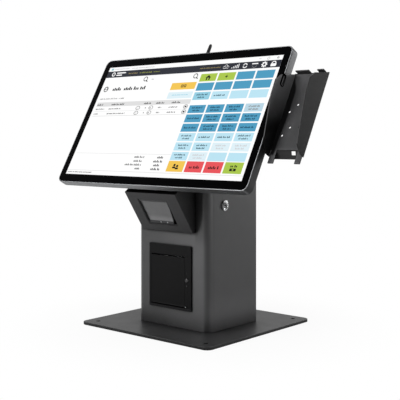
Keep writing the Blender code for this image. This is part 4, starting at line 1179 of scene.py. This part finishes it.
def glass_edge():
    """A painted highlight: the bright line where the polished edge of the cover glass meets the frame."""
    low, high = local_box("touch_glass", SCREEN)
    front = low.y
    outer = rounded(low.x - 0.0006, low.z - 0.0006, high.x + 0.0006, high.z + 0.0006, 0.0126, 10)
    inner = rounded(low.x - 0.0001, low.z - 0.0001, high.x - 0.0006, high.z + 0.0001, 0.0121, 10)
    crest = rounded(low.x - 0.0003, low.z - 0.0003, high.x + 0.0003, high.z + 0.0003, 0.0123, 10)
    rings = lifted(((outer, front + 0.0012), (outer, front + 0.0003), (crest, front - 0.0001),
                    (inner, front - 0.0001), (inner, front + 0.0012)))
    lofted("glass_edge", [rings], "glass_edge", "screen", SCREEN, closed=True)


def display_picture():
    """The lit picture, in thin layers on the front of the cover glass."""
    p = Picture()
    p.box(-DISPLAY_WIDTH / 2, DISPLAY_HEIGHT / 2, DISPLAY_WIDTH / 2, -DISPLAY_HEIGHT / 2, "white", 0)
    for draw in (title_strip, top_bar, customer_panel, sales_table, totals, wide_buttons, tile_grid):
        draw(p)
    front = local_box("touch_glass", SCREEN)[0].y
    names = sorted({ink for _, ink, _ in p.shapes})
    vertices, faces, indices = [], [], []      # one face for each shape
    for points, ink, layer in p.shapes:
        start = len(vertices)
        vertices += [(x * MM, front - PICTURE_LIFT - LAYER_GAP * layer, z * MM) for x, z in points]
        faces.append(tuple(range(start, start + len(points))))
        indices.append(names.index(ink))
    looks = [lit("lit_" + ink, colour(*INK[ink])) for ink in names]
    item = piece("display_picture", vertices, faces, looks, "screen", SCREEN, smooth=False)
    item.data.polygons.foreach_set("material_index", indices)


# ---------------- studio

def studio():
    """The camera, a floor, the surround and four area lights."""
    camera = bpy.data.cameras.new("camera")
    camera.lens, camera.sensor_width = CAMERA_LENS, SENSOR
    camera.shift_y = CAMERA_SHIFT
    item = bpy.data.objects.new("camera", camera)
    item.location = CAMERA_AT
    item.rotation_euler = (math.pi / 2, 0, CAMERA_TURN)
    bpy.context.scene.collection.objects.link(item)
    bpy.context.scene.camera = item
    bpy.context.scene.view_settings.view_transform = "Standard"
    floor()
    sky()
    softbox("key", (-1.2, -2.5, 1.2), (0, 0, 0.25), 1.2, 1.2, 50)
    softbox("side", (1.3, 2.5, 0.8), (0, 0, 0.25), 0.9, 1.3, 14)
    softbox("right", (2.6, 0.15, 0.6), (0, 0, 0.20), 0.3, 1.2, 14)
    softbox("top", (0.9, -0.9, 2.6), (0.2, 0, 0.45), 0.6, 0.6, 12)


def softbox(name, at, target, width, height, power):
    """A rectangular area light at one point, turned to a target."""
    light = bpy.data.lights.new(name, "AREA")
    light.shape = "RECTANGLE"
    light.size, light.size_y = width, height
    light.energy = power
    item = bpy.data.objects.new(name, light)
    item.matrix_world = facing(at, Vector(at) - Vector(target))
    bpy.context.scene.collection.objects.link(item)


def floor():
    """A pale floor that fades into a plain white surround away from the object."""
    reach = 14.0
    mesh = bpy.data.meshes.new("floor")
    mesh.from_pydata([(-reach, -reach, 0), (reach, -reach, 0), (reach, reach, 0), (-reach, reach, 0)], [],
                     [(0, 1, 2, 3)])
    item = bpy.data.objects.new("floor", mesh)
    item.location = (0, 0, -0.0003)
    bpy.context.scene.collection.objects.link(item)
    made, tree, shader = new_material("pale_floor")
    shader.inputs["Base Color"].default_value = (0.92, 0.92, 0.92, 1)
    shader.inputs["Roughness"].default_value = 0.9
    shader.inputs["Specular IOR Level"].default_value = 0.0
    coordinate = tree.nodes.new("ShaderNodeTexCoord")
    length = tree.nodes.new("ShaderNodeVectorMath")
    length.operation = "LENGTH"
    tree.links.new(coordinate.outputs["Object"], length.inputs[0])
    fade = ramp(tree, length.outputs["Value"], *FLOOR_FADE, FLOOR_SEEN, 1.0)
    seen = tree.nodes.new("ShaderNodeLightPath")
    share = blended(tree, FLOOR_GLOW, fade, seen.outputs["Is Camera Ray"])
    glow = tree.nodes.new("ShaderNodeEmission")
    glow.inputs["Color"].default_value = (1, 1, 1, 1)
    mix = tree.nodes.new("ShaderNodeMixShader")
    tree.links.new(share, mix.inputs["Fac"])
    tree.links.new(shader.outputs["BSDF"], mix.inputs[1])
    tree.links.new(glow.outputs["Emission"], mix.inputs[2])
    tree.links.new(mix.outputs["Shader"], tree.nodes["Material Output"].inputs["Surface"])
    mesh.materials.append(made)


def sky():
    """White to the eye; as a light, bright behind the object and dim elsewhere."""
    world = bpy.data.worlds.new("studio")
    bpy.context.scene.world = world
    world.use_nodes = True
    tree = world.node_tree
    background = tree.nodes["Background"]
    coordinate = tree.nodes.new("ShaderNodeTexCoord")
    aim = tree.nodes.new("ShaderNodeVectorMath")
    aim.operation = "DOT_PRODUCT"
    aim.inputs[1].default_value = Vector(BRIGHT_SIDE).normalized()
    tree.links.new(coordinate.outputs["Generated"], aim.inputs[0])
    shade = ramp(tree, aim.outputs["Value"], 0.0, 0.9, SKY_DIM, SKY_BRIGHT)
    path = tree.nodes.new("ShaderNodeLightPath")
    tree.links.new(blended(tree, shade, 1.0, path.outputs["Is Camera Ray"]), background.inputs["Strength"])
    background.inputs["Color"].default_value = (1, 1, 1, 1)


# ---------------- build

studio()
dress_cad_nodes()
screws()
lock()
scanner_window()
printer_details()
port_sockets()
inlet_pins()
slot_trim()
antenna()
glass_edge()
display_picture()

bpy.context.view_layer.update()
